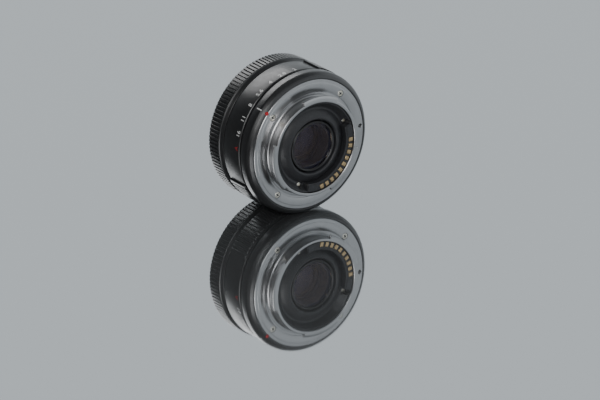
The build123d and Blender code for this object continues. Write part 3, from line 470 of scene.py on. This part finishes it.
def plated(name, tint, roughness, worn, metallic=1.0):
    finish = Finish(name, tint, roughness, metallic)
    finish.vary_roughness(finish.noise(0.4, 4.0), 0.08)
    finish.vary_colour(finish.noise(0.8, 5.0), worn, 0.45, 0.8)
    return finish.grain(finish.noise(0.06, 2.0), 0.0015).material


def paint(name, tint, roughness=0.42):
    finish = Finish(name, tint, roughness)
    finish.vary_roughness(finish.noise(0.3), 0.08)
    finish.vary_colour(finish.noise(0.25, 4.0), [value * 0.82 for value in tint], 0.5, 0.8)
    return finish.grain(finish.noise(0.08), 0.003).material


def coated_glass(tint):
    finish = Finish("coated glass", tint, 0.01, Transmission_Weight=1.0, IOR=1.6,
                    Thin_Film_Thickness=118.0, Thin_Film_IOR=1.38)
    return finish.vary_roughness(finish.noise(3.0, 4.0), 0.006).material


def circuit_board():
    green = (0.012, 0.075, 0.035)
    finish = Finish("circuit board", green, 0.38)
    finish.vary_roughness(finish.noise(0.6), 0.08)
    finish.vary_colour(finish.noise(0.45, 1.0), (0.03, 0.14, 0.06), 0.52, 0.56)
    return finish.grain(finish.noise(0.45, 1.0), 0.02).material


def make_finishes():
    """All finishes, by the slot that they fill on the CAD nodes."""
    tint = bpy.context.scene.lens_colours
    black, steel = tuple(tint.black), tuple(tint.steel)
    return {
        "satin_black": anodised_black(black),
        "mount_chrome": mount_chrome(tuple(tint.chrome)),
        "black_plastic": moulded_plastic("moulded black plastic", tuple(tint.plastic)),
        "core_plastic": moulded_plastic("glass-filled plastic", (0.022, 0.022, 0.023), 0.55),
        "gold": plated("gold plate", tuple(tint.gold), 0.32, (0.44, 0.32, 0.18)),
        "steel": plated("ground steel", steel, 0.22, [value * 0.8 for value in steel]),
        "screw_steel": plated("screw steel", (0.90, 0.87, 0.78), 0.36, (0.74, 0.70, 0.60)),
        "glass": coated_glass(tuple(tint.glass)),
        "board": circuit_board(),
        "chip": moulded_plastic("chip resin", (0.02, 0.02, 0.022), 0.5),
        "flex": plated("flexible lead", (0.45, 0.19, 0.04), 0.35, (0.30, 0.12, 0.03), 0.0),
        "red_enamel": paint("red enamel", tuple(tint.red), 0.25),
        "motor_can": plated("motor can", (0.48, 0.48, 0.50), 0.32, (0.36, 0.36, 0.38)),
        "blade_steel": plated("blackened steel", (0.035, 0.035, 0.04), 0.42, (0.06, 0.06, 0.06)),
        "slip_film": plated("slip film", (0.10, 0.10, 0.09), 0.4, (0.07, 0.07, 0.06), 0.0),
        "brass_nut": plated("brass", (0.70, 0.50, 0.20), 0.3, (0.50, 0.33, 0.12)),
        "code_film": plated("code film", (0.09, 0.09, 0.10), 0.35, (0.14, 0.14, 0.15), 0.0),
        "cell_black": moulded_plastic("black cell metal", (0.02, 0.02, 0.021), 0.36),
        "white_paint": paint("white paint", tuple(tint.paint)),
        "red_paint": paint("dull red paint", [value * 0.75 for value in tint.red], 0.5),
    }


# --- pieces ---

class LENS_OT_finishes(bpy.types.Operator):
    """Make every finish and put it on the CAD nodes that stay in sight"""
    bl_idname = "lens.finishes"
    bl_label = "Finishes"

    def execute(self, context):
        FINISHES.update(make_finishes())
        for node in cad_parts.values():
            for slot in node.material_slots:
                slot.material = FINISHES[slot.material.name]
        return {"FINISHED"}


class LENS_OT_stage(bpy.types.Operator):
    """Add the pale floor, the soft lights and the camera"""
    bl_idname = "lens.stage"
    bl_label = "Stage"
    floor_size = 12.0
    # Metres, and watts: name, place, width, height, power.
    lights = (
        ("top light", (0.15, 1.0, 0.88), 1.0, 0.5, 6.0),
        ("front light", (-1.2, -1.3, 0.9), 1.0, 1.0, 15.0))
    lens_middle = Vector((0.0, 0.014, 0.0))
    sky_tint = (0.90, 0.96, 1.0, 1.0)
    # From and to along the axis, then the strength at each.
    sky_across = (-0.55, 0.25, 0.04, 0.85)
    sky_upwards = (0.5, 0.8, 1.0, 0.2)
    camera_azimuth = radians(-36.865)
    camera_elevation = radians(22.554)
    camera_distance = 4.4496
    camera_left, camera_down = 0.0039, 0.0239
    camera_lens = 622.68

    def execute(self, context):
        self.floor(cad_box[0][2], tuple(context.scene.lens_colours.floor))
        self.sky(context.scene)
        for light in self.lights:
            self.light(*light)
        self.camera(context.scene)
        return {"FINISHED"}

    def floor(self, low, tint):
        deselect()
        bpy.ops.mesh.primitive_grid_add(x_subdivisions=8, y_subdivisions=8,
                                        size=self.floor_size, location=(0, 0, low))
        floor = bpy.context.object
        floor.name = "studio_floor"
        finish = Finish("polished studio floor", tint, 0.025, 0.93)
        finish.vary_roughness(finish.noise(400.0), 0.008)
        floor.data.materials.append(finish.material)

    def sky(self, scene):
        world = bpy.data.worlds.new("studio")
        world.use_nodes = True
        tree = world.node_tree
        split = tree.nodes.new("ShaderNodeSeparateXYZ")
        place = tree.nodes.new("ShaderNodeTexCoord")
        tree.links.new(place.outputs["Generated"], split.inputs["Vector"])
        sides = self.fade(tree, split.outputs["X"], self.sky_across)
        heights = self.fade(tree, split.outputs["Z"], self.sky_upwards)
        both = tree.nodes.new("ShaderNodeMath")
        both.operation = "MULTIPLY"
        tree.links.new(sides, both.inputs[0])
        tree.links.new(heights, both.inputs[1])
        back = tree.nodes["Background"]
        back.inputs["Color"].default_value = self.sky_tint
        tree.links.new(both.outputs["Value"], back.inputs["Strength"])
        scene.world = world

    def fade(self, tree, value, numbers):
        ramp = tree.nodes.new("ShaderNodeMapRange")
        ramp.interpolation_type = "SMOOTHSTEP"
        for name, number in zip(("From Min", "From Max", "To Min", "To Max"), numbers):
            ramp.inputs[name].default_value = number
        tree.links.new(value, ramp.inputs["Value"])
        return ramp.outputs["Result"]

    def light(self, name, place, width, height, power):
        bpy.ops.object.light_add(type="AREA", location=place)
        light = bpy.context.object
        light.name = name
        light.data.shape = "RECTANGLE"
        light.data.size = width
        light.data.size_y = height
        light.data.energy = power
        aim = self.lens_middle - Vector(place)
        light.rotation_euler = aim.to_track_quat("-Z", "Y").to_euler()

    def camera(self, scene):
        azimuth, elevation = self.camera_azimuth, self.camera_elevation
        back = Vector((sin(azimuth) * cos(elevation), -cos(azimuth) * cos(elevation),
                       sin(elevation)))
        right = Vector((cos(azimuth), sin(azimuth), 0))
        up = back.cross(right)
        bpy.ops.object.camera_add(location=back * self.camera_distance
                                  - right * self.camera_left - up * self.camera_down)
        camera = bpy.context.object
        camera.rotation_euler = Matrix((right, up, back)).transposed().to_euler()
        camera.data.lens = self.camera_lens
        camera.data.sensor_width = 36.0
        camera.data.clip_start = 0.05
        camera.data.clip_end = 50.0
        scene.camera = camera


def bead_socket(s, rear):
    """Cutter for the hole that the mounting mark sits in."""
    radius = s.bead_radius + 0.02
    socket = turned("socket", [(0.0, rear), (radius, rear), (radius, 1.6), (0.0, 1.6)],
                    steps=SMALL_STEPS)
    return move(socket, s.bead_circle, 0.0)


class LENS_OT_mount(bpy.types.Operator):
    """Add the bayonet mount with its lugs, grooves, screw seats and lock hole"""
    bl_idname = "lens.mount"
    bl_label = "Bayonet mount"

    def execute(self, context):
        s = sizes()
        rear, front = span("bayonet_mount")
        edge, step, relief = 0.22, 0.1, 0.4
        foot = s.bayonet_radius - 0.5
        pin_angle = 135.0
        mount = turned("bayonet_mount_visual", [
            (s.throat_radius, rear + edge), (s.throat_radius + edge, rear),
            (s.bayonet_radius - edge, rear), (s.bayonet_radius, rear + edge),
            (s.bayonet_radius, -0.35), (s.bayonet_radius + 0.45, step), (s.root_radius, step),
            (s.root_radius, relief), (s.relief_radius, relief), (s.relief_radius, 0.0),
            (s.land_radius, 0.0), (s.land_radius + 0.1, step), (s.flange_radius - 0.3, step),
            (s.flange_radius, step + 0.3), (s.flange_radius, front), (s.throat_radius, front)])
        bevel(mount, 0.05, 2, 25)
        for start, end in LUG_SPANS:
            lug = turned("lug", [
                (foot, rear + 0.03), (s.lug_radius - 0.8, rear + 0.03),
                (s.lug_radius, rear + 0.45), (s.lug_radius, rear + s.lug_thickness),
                (foot, rear + s.lug_thickness)],
                start, end - start, 48)
            unite(mount, bevel(lug, 0.12, 3, 40))
        seat_radius, seat_floor, thread_radius = s.screw_head + 0.15, 0.9, 0.9
        seat = turned("seat", [
            (0.0, -1.0), (seat_radius + 0.1, -1.0), (seat_radius, 0.05),
            (seat_radius, seat_floor), (thread_radius, seat_floor), (thread_radius, 4.0),
            (0.0, 4.0)], steps=SMALL_STEPS)
        cut(mount, copy_to(seat, [(s.screw_circle, angle, 0) for angle in FLANGE_SCREW_ANGLES]))
        hole = turned("hole", [
            (0.0, -1.0), (s.pin_radius + 1.1, -1.0), (s.pin_radius, 0.18), (s.pin_radius, 2.0),
            (0.0, 2.0)], steps=SMALL_STEPS)
        cut(mount, move(hole, s.pin_circle, pin_angle))
        cut(mount, bead_socket(s, -1.0))
        finish(mount, "barrel", "mount_chrome", "bayonet_mount")
        return {"FINISHED"}


def cross_screw(name, head, height, thread, reach):
    """Screw with its head's face at z = 0 and its thread towards +Z."""
    screw = turned(name, [
        (0.0, 0.0), (head * 0.8, 0.0), (head * 0.93, 0.05), (head, 0.16), (head, height),
        (thread, height), (thread, reach - 0.3), (thread * 0.5, reach), (0.0, reach)],
        steps=SMALL_STEPS)
    for quarter in (0, 90):
        arm = box("arm", head * 1.3, head * 0.36, height * 0.95, -0.1, 0.7)
        cut(screw, move(arm, 0, quarter, 0))
    return screw


def cross_shade_plug(name, head):
    """Painted shade: a blackened cross a little below the head's face, darkening the screw's
    cross recess.
    """
    long, short, thickness, depth = head * 1.24, head * 0.34, 0.2, 0.14
    arm = box("arm", long, short, thickness, depth)
    other = box("arm", short, long, thickness, depth)
    shade_plug = unite(arm, other)
    shade_plug.name = name
    return shade_plug


class LENS_OT_flange_screws(bpy.types.Operator):
    """Add the four cross-head screws of the flange"""
    bl_idname = "lens.flange_screws"
    bl_label = "Flange screws"

    def execute(self, context):
        s = sizes()
        sunk = 0.02
        screw = cross_screw("flange_screws_visual", head=s.screw_head, height=0.76,
                            thread=0.8, reach=7.4)
        places = [(s.screw_circle, angle, sunk) for angle in FLANGE_SCREW_ANGLES]
        screws = copy_to(screw, places)
        finish(screws, "barrel", "screw_steel", "flange_screws")
        # Painted shade: blackened crosses in the screws' cross recesses stand in for their
        # shade.
        shade_plug = cross_shade_plug("flange_screw_shade_plugs", s.screw_head)
        finish(copy_to(shade_plug, places), "barrel", "screw_steel", look="blade_steel")
        return {"FINISHED"}


class LENS_OT_rear_barrel(bpy.types.Operator):
    """Add the rear barrel, its index line and the mounting mark"""
    bl_idname = "lens.rear_barrel"
    bl_label = "Rear barrel"

    def execute(self, context):
        s = sizes()
        rear, front = span("rear_barrel")
        seat = s.flange_radius + 0.05
        sleeve = s.sleeve_radius + 0.15
        web_radius, web_rear, web_front = 23.6, 2.4, 4.4
        barrel = turned("rear_barrel_visual", [
            (seat, 0.15), (seat + 0.5, 0.2), (seat + 1.6, 1.05), (s.barrel_radius - 0.25, 2.2),
            (s.barrel_radius, 3.0), (s.barrel_radius, front - 0.3),
            (s.barrel_radius - 0.3, front), (sleeve, front), (sleeve, web_front),
            (web_radius, web_front), (web_radius, web_rear), (seat, web_rear)],
            steps=FINE_STEPS)
        bevel(barrel, 0.08, 2, 12)
        cut(barrel, bead_socket(s, -2.0))
        finish(barrel, "barrel", "satin_black", "rear_barrel")
        bead = turned("index_bead_visual", [
            (0.0, -0.3), (0.34, -0.26), (0.62, -0.12), (0.8, 0.1), (0.85, 0.3), (0.85, 1.58),
            (0.0, 1.58)], steps=SMALL_STEPS)
        move(bead, s.bead_circle, 0.0)
        finish(bead, "barrel", "red_enamel", "index_bead")
        self.index_line(s)
        return {"FINISHED"}

    def index_line(self, s):
        width, low, high = 0.52, 1.95, 5.0
        deselect()
        bpy.ops.mesh.primitive_grid_add(x_subdivisions=4, y_subdivisions=24, size=1.0)
        line = bpy.context.object
        line.name = "index_line"
        taper_end, taper_drop = 3.0, 0.31

        def place(x, y):
            z = low + (y + 0.5) * (high - low)
            radius = s.barrel_radius + PAINT_PROUD - max(0.0, taper_end - z) * taper_drop
            angle = x * width / radius
            return radius * cos(angle), radius * sin(angle), z
        shape_on(line, place)
        finish(line, "barrel", "satin_black", look="white_paint")


def shape_on(piece, place):
    """Lays a flat piece on a surface: place takes its x and y and gives millimetres."""
    for vertex in piece.data.vertices:
        vertex.co = Vector(place(vertex.co.x, vertex.co.y)) * MM
    pick(piece)
    modifier = piece.modifiers.new("paint", "SOLIDIFY")
    modifier.thickness = PAINT_THICKNESS * MM
    modifier.offset = -1
    bpy.ops.object.modifier_apply(modifier=modifier.name)


class LENS_OT_aperture_ring(bpy.types.Operator):
    """Add the aperture ring with its two grooved grips"""
    bl_idname = "lens.aperture_ring"
    bl_label = "Aperture ring"

    def execute(self, context):
        s = sizes()
        gap, sleeve_rear = 2.0, 4.6
        rear, front = span("rear_barrel")[1] + gap, span("aperture_ring")[1]
        body = s.aperture_radius
        ring = turned("aperture_ring_visual", [
            (s.ring_bore, sleeve_rear), (s.sleeve_radius, sleeve_rear), (s.sleeve_radius, rear),
            (body - 0.35, rear), (body, rear + 0.35), (body, front - 0.3), (body - 0.3, front),
            (s.ring_bore, front)], steps=FINE_STEPS)
        bevel(ring, 0.07, 2, 20)
        pitch = 360 / s.groove_count
        foot, grip_rear, grip_front = body - 0.4, rear + 0.12, front - 0.12
        run_out = 1.5
        for start, end in GRIP_SPANS:
            grip = turned("grip", [
                (foot, grip_rear), (s.grip_radius - 0.4, grip_rear),
                (s.grip_radius, rear + 0.45), (s.grip_radius, front - 0.42),
                (s.grip_radius - 0.3, grip_front), (foot, grip_front)],
                start, end - start, 96)
            bevel(grip, 0.1, 2, 20)
            grooves = int((end - start) / pitch) - 1
            first = (start + end) / 2 - pitch * (grooves - 1) / 2
            angles = [first + pitch * k for k in range(grooves)]
            cutters = groove_cutters(s.grip_radius, s.groove_depth, s.groove_width + 0.1,
                                     rear - run_out, front + run_out, angles)
            unite(ring, cut(grip, cutters))
        finish(ring, "aperture_ring", "satin_black", "aperture_ring")
        return {"FINISHED"}


class LENS_OT_figures(bpy.types.Operator):
    """Add the painted figures of the aperture scale"""
    bl_idname = "lens.figures"
    bl_label = "Aperture figures"
    stop_step = 12.15
    auto_step = 12.3
    band = (8.3, 11.9)
    above_middle = 0.15
    figures = ("16", "11", "8", "5.6", "4", "2.8", "2")

    def execute(self, context):
        s = sizes()
        first = -2 * self.stop_step
        places = [(text, first + self.stop_step * k) for k, text in enumerate(self.figures)]
        middle = sum(self.band) / 2 + self.above_middle
        for text, angle in places:
            self.figure(s, text, angle, middle, "white_paint")
        self.figure(s, "A", first - self.auto_step, middle, "red_paint")
        return {"FINISHED"}

    def figure(self, s, text, angle, middle, paint_name):
        deselect()
        bpy.ops.object.text_add()
        figure = bpy.context.object
        figure.data.body = text
        figure.data.align_x = "CENTER"
        figure.data.offset = 0.012
        figure.data.space_character = 1.05
        bpy.ops.object.convert(target="MESH")
        figure.name = "figure_" + text.replace(".", "_")
        xs = [vertex.co.x for vertex in figure.data.vertices]
        ys = [vertex.co.y for vertex in figure.data.vertices]
        scale = s.digit_height / (max(ys) - min(ys))
        centre_x, centre_y = (max(xs) + min(xs)) / 2, (max(ys) + min(ys)) / 2
        radius = s.aperture_radius + PAINT_PROUD

        def place(x, y):
            turn = radians(angle) + (x - centre_x) * scale / radius
            return radius * cos(turn), radius * sin(turn), middle + (y - centre_y) * scale
        shape_on(figure, place)
        finish(figure, "aperture_ring", "satin_black", look=paint_name)


class LENS_OT_focus_ring(bpy.types.Operator):
    """Add the focus ring with its fine axial grooves"""
    bl_idname = "lens.focus_ring"
    bl_label = "Focus ring"

    def execute(self, context):
        s = sizes()
        rear, front = span("focus_ring")
        lands = rear + s.lip_length
        outer = s.barrel_radius
        ring = turned("focus_ring_visual", [
            (s.ring_bore, rear), (outer - 1.2, rear), (outer - 1.1, rear + 0.1),
            (outer - 0.45, lands - 0.25), (outer - 0.1, lands - 0.05), (outer, lands + 0.1),
            (outer, front - 0.4), (outer - 0.4, front), (s.ring_bore, front)],
            steps=FINE_STEPS)
        bevel(ring, 0.06, 2, 15)
        pitch = 360 / s.groove_count
        angles = [pitch * (k + 0.5) for k in range(s.groove_count)]
        cutters = groove_cutters(outer, s.groove_depth, s.groove_width, lands + 0.3,
                                 front + 1.0, angles)
        cut(ring, cutters)
        finish(ring, "focus_ring", "satin_black", "focus_ring")
        return {"FINISHED"}


class LENS_OT_front(bpy.types.Operator):
    """Add the front ring with its filter thread, and the stepped ring inside it"""
    bl_idname = "lens.front"
    bl_label = "Front ring"

    def execute(self, context):
        s = sizes()
        rear, front = span("filter_ring")
        base = rear + 1.0
        web = 22.6
        pitch, crest, root = s.filter_pitch, s.filter_radius, s.filter_radius + 0.40
        outline = [
            (web, rear), (s.front_flange_radius, rear), (s.front_flange_radius, base - 0.25),
            (s.front_flange_radius - 0.25, base), (s.neck_radius, base),
            (s.neck_radius, front - 0.45), (s.neck_radius - 0.45, front),
            (crest + 0.5, front), (crest + 0.05, front - 0.4)]
        for turn in range(int((front - base - 0.7) / pitch)):
            top = front - 0.45 - turn * pitch
            outline += [(crest, top), (crest, top - pitch * 0.12),
                        (root, top - pitch * 0.5), (root, top - pitch * 0.6)]
        outline += [(crest, base + 0.2), (crest, base), (web, base)]
        ring = turned("filter_ring_visual", outline)
        bevel(ring, 0.04, 2, 35)
        foot, top = s.neck_radius - 0.3, s.neck_radius + 0.8
        lug_rear, lug_front = base + 0.9, base + 1.9
        for angle in HOOD_LUGS:
            lug = turned("hood_lug", [
                (foot, lug_rear), (top, lug_rear), (top, lug_front), (foot, lug_front)],
                angle - HOOD_LUG_SWEEP / 2, HOOD_LUG_SWEEP, 16)
            unite(ring, bevel(lug, 0.12, 2, 30))
        finish(ring, "barrel", "satin_black", "filter_ring")
        self.stepped_ring(s, base)
        return {"FINISHED"}

    def stepped_ring(self, s, base):
        low, high = span("name_ring")
        inner, foot, outer = 13.6, 22.5, s.filter_radius - 0.1
        outline = [(inner, low), (foot, low), (foot, base + 0.05), (outer, base + 0.05),
                   (outer, high)]
        steps, drop = 9, 0.07
        width = (outer - inner) / steps
        for step in range(steps):
            edge, height = outer - step * width, high - drop * step
            outline += [(edge - width * 0.12, height), (edge - width * 0.85, height - 0.02),
                        (edge - width, height - drop)]
        ring = bevel(turned("name_ring_visual", outline), 0.02, 2, 30)
        finish(ring, "barrel", "cell_black", "name_ring")


class LENS_OT_baffle(bpy.types.Operator):
    """Add the black dish round the rear glass, and its two screws"""
    bl_idname = "lens.baffle"
    bl_label = "Rear baffle"

    def execute(self, context):
        s = sizes()
        rim, top = span("rear_baffle")
        outer, throat = s.baffle_radius, s.light_throat
        valley, crest = 17.2, (s.hump_radius, -s.hump_height)
        middle = ((s.hump_radius + valley) / 2 - 0.2, -(s.hump_height + 1.5) / 2 - 0.2)
        dish = [(outer, rim), (outer - 0.6, rim)]
        dish += arc_through((valley + 0.7, -1.9), (valley, -1.5), (valley - 0.9, -1.8), 8)
        dish += arc_through((valley - 0.9, -1.8), middle, crest, 24)
        dish += arc_through(crest, (throat + 0.45, 0.15 - s.hump_height),
                            (throat + 0.15, 0.6 - s.hump_height), 12)
        dish += [(throat + 0.15, 0.6 - s.hump_height), (throat, 1.2 - s.hump_height),
                 (throat, 0.2), (throat + 0.9, 0.2), (throat + 0.9, top), (outer, top)]
        baffle = turned("rear_baffle_visual", dish)
        bevel(baffle, 0.06, 2, 28)
        start, end = CONTACT_SPAN[0] - 0.4, CONTACT_SPAN[1] + 0.4
        inner = s.block_inner - 0.1
        far, pocket_front, pocket_outer = 9.0, 1.9, outer + 1.0
        pocket = turned("pocket", [
            (inner, -far), (pocket_outer, -far), (pocket_outer, pocket_front),
            (inner, pocket_front)], start, end - start, 96)
        cut(baffle, pocket)
        well_radius, well_floor, thread_radius, screw_face = 1.3, -1.2, 0.7, -1.65
        for circle, angle in BAFFLE_SCREWS:
            well = turned("well", [
                (0.0, -far), (well_radius, -far), (well_radius, well_floor),
                (thread_radius, well_floor), (thread_radius, far), (0.0, far)],
                steps=SMALL_STEPS)
            cut(baffle, move(well, circle, angle))
        finish(baffle, "barrel", "black_plastic", "rear_baffle")
        screw = cross_screw("baffle_screws_visual", head=1.0, height=0.45, thread=0.6, reach=6.6)
        screws = copy_to(screw, [(*place, screw_face) for place in BAFFLE_SCREWS])
        finish(screws, "barrel", "screw_steel", "baffle_screws")
        return {"FINISHED"}


class LENS_OT_glass(bpy.types.Operator):
    """Add the lens elements with smooth curved faces"""
    bl_idname = "lens.glass"
    bl_label = "Glass"
    # Node, radius, rear and front edge, and how far each face bulges at the axis.
    elements = (
        ("front_element", 12.0, 25.2, 26.4, -1.0, 0.9),
        ("second_element", 9.6, 21.2, 22.4, -0.7, 0.5),
        ("third_element", 8.0, 18.3, 19.7, 0.4, 0.9),
        ("fourth_element", 7.8, 11.4, 12.0, 0.9, -0.5),
        ("fifth_element", 7.8, 9.7, 11.4, 0.3, -0.9),
        ("sixth_element", 8.8, 7.4, 8.6, 0.6, -0.5),
        ("seventh_element", 9.6, 4.5, 5.9, 0.5, 0.6),
        ("rear_element", 10.8, -2.3, -0.6, 0.6, -0.4))

    def execute(self, context):
        for node, radius, rear, front, rear_bulge, front_bulge in self.elements:
            outline = self.face(radius, rear, rear - rear_bulge)
            outline += reversed(self.face(radius, front, front + front_bulge))
            glass = turned(node + "_visual", outline, steps=96)
            finish(glass, "optical_block", "glass", node)
        return {"FINISHED"}

    def face(self, radius, edge, apex):
        points = arc_through((-radius, edge), (0.0, apex), (radius, edge), 64)[32:]
        points[0] = (0.0, apex)
        return points + [(radius, edge)]


class LENS_OT_contacts(bpy.types.Operator):
    """Add the contact block and its gold contacts"""
    bl_idname = "lens.contacts"
    bl_label = "Contacts"

    def execute(self, context):
        s = sizes()
        rear, front = span("contact_block")
        pad_height, pocket_depth, pocket_height = 0.26, 0.12, 2.0
        face = rear + pad_height
        start, end = CONTACT_SPAN
        outer = s.baffle_radius - 0.05
        block = turned("contact_block_visual", [
            (s.block_inner, face), (outer, face), (outer, front), (s.block_inner, front)],
            start, end - start, 96)
        bevel(block, 0.15, 3, 40)
        first = CONTACT_CENTRE - CONTACT_PITCH * (s.contact_count - 1) / 2
        angles = [first + CONTACT_PITCH * k for k in range(s.contact_count)]
        margin = 1.2
        pads = ((start + margin, first - 6.0), (angles[-1] + 5.0, end - margin))
        pad_inner, pad_outer, pad_foot = s.block_inner + 0.7, outer - 0.3, face + 0.5
        for pad_start, pad_end in pads:
            pad = turned("pad", [
                (pad_inner, rear), (pad_outer, rear), (pad_outer, pad_foot),
                (pad_inner, pad_foot)], pad_start, pad_end - pad_start, 24)
            unite(block, bevel(pad, 0.12, 3, 40))
        pocket = box("pocket", s.contact_depth + 0.34, s.contact_width + 0.3, pocket_height,
                     face + pocket_depth - pocket_height)
        cut(block, copy_to(pocket, [(s.contact_circle, angle, 0) for angle in angles]))
        finish(block, "barrel", "black_plastic", "contact_block")
        contact = box("contact_pins_visual", s.contact_depth, s.contact_width, 3.0, rear)
        bevel(contact, 0.22, 4, 40)
        contacts = copy_to(contact, [(s.contact_circle, angle, 0) for angle in angles])
        finish(contacts, "barrel", "gold", "contact_pins")
        return {"FINISHED"}


class LENS_PT_panel(bpy.types.Panel):
    """Sizes, colours and pieces of the lens"""
    bl_idname = "LENS_PT_panel"
    bl_label = "Prime lens"
    bl_space_type = "VIEW_3D"
    bl_region_type = "UI"
    bl_category = "Lens"

    def draw(self, context):
        for title, group in (("Sizes", context.scene.lens_sizes),
                             ("Colours", context.scene.lens_colours)):
            column = self.layout.box().column()
            column.label(text=title)
            for name in group.__annotations__:
                column.prop(group, name)
        column = self.layout.column()
        for step in STEPS:
            column.operator(step.bl_idname)


STEPS = (LENS_OT_stage, LENS_OT_finishes, LENS_OT_mount, LENS_OT_flange_screws,
         LENS_OT_rear_barrel, LENS_OT_aperture_ring, LENS_OT_figures, LENS_OT_focus_ring,
         LENS_OT_front, LENS_OT_baffle, LENS_OT_contacts, LENS_OT_glass)
CLASSES = (LensSizes, LensColours, *STEPS, LENS_PT_panel)


def register():
    for item in CLASSES:
        bpy.utils.register_class(item)
    bpy.types.Scene.lens_sizes = PointerProperty(type=LensSizes)
    bpy.types.Scene.lens_colours = PointerProperty(type=LensColours)


def unregister():
    del bpy.types.Scene.lens_colours
    del bpy.types.Scene.lens_sizes
    for item in reversed(CLASSES):
        bpy.utils.unregister_class(item)


def main():
    register()
    for step in STEPS:
        group, name = step.bl_idname.split(".")
        getattr(getattr(bpy.ops, group), name)()


if __name__ == "__main__":
    main()
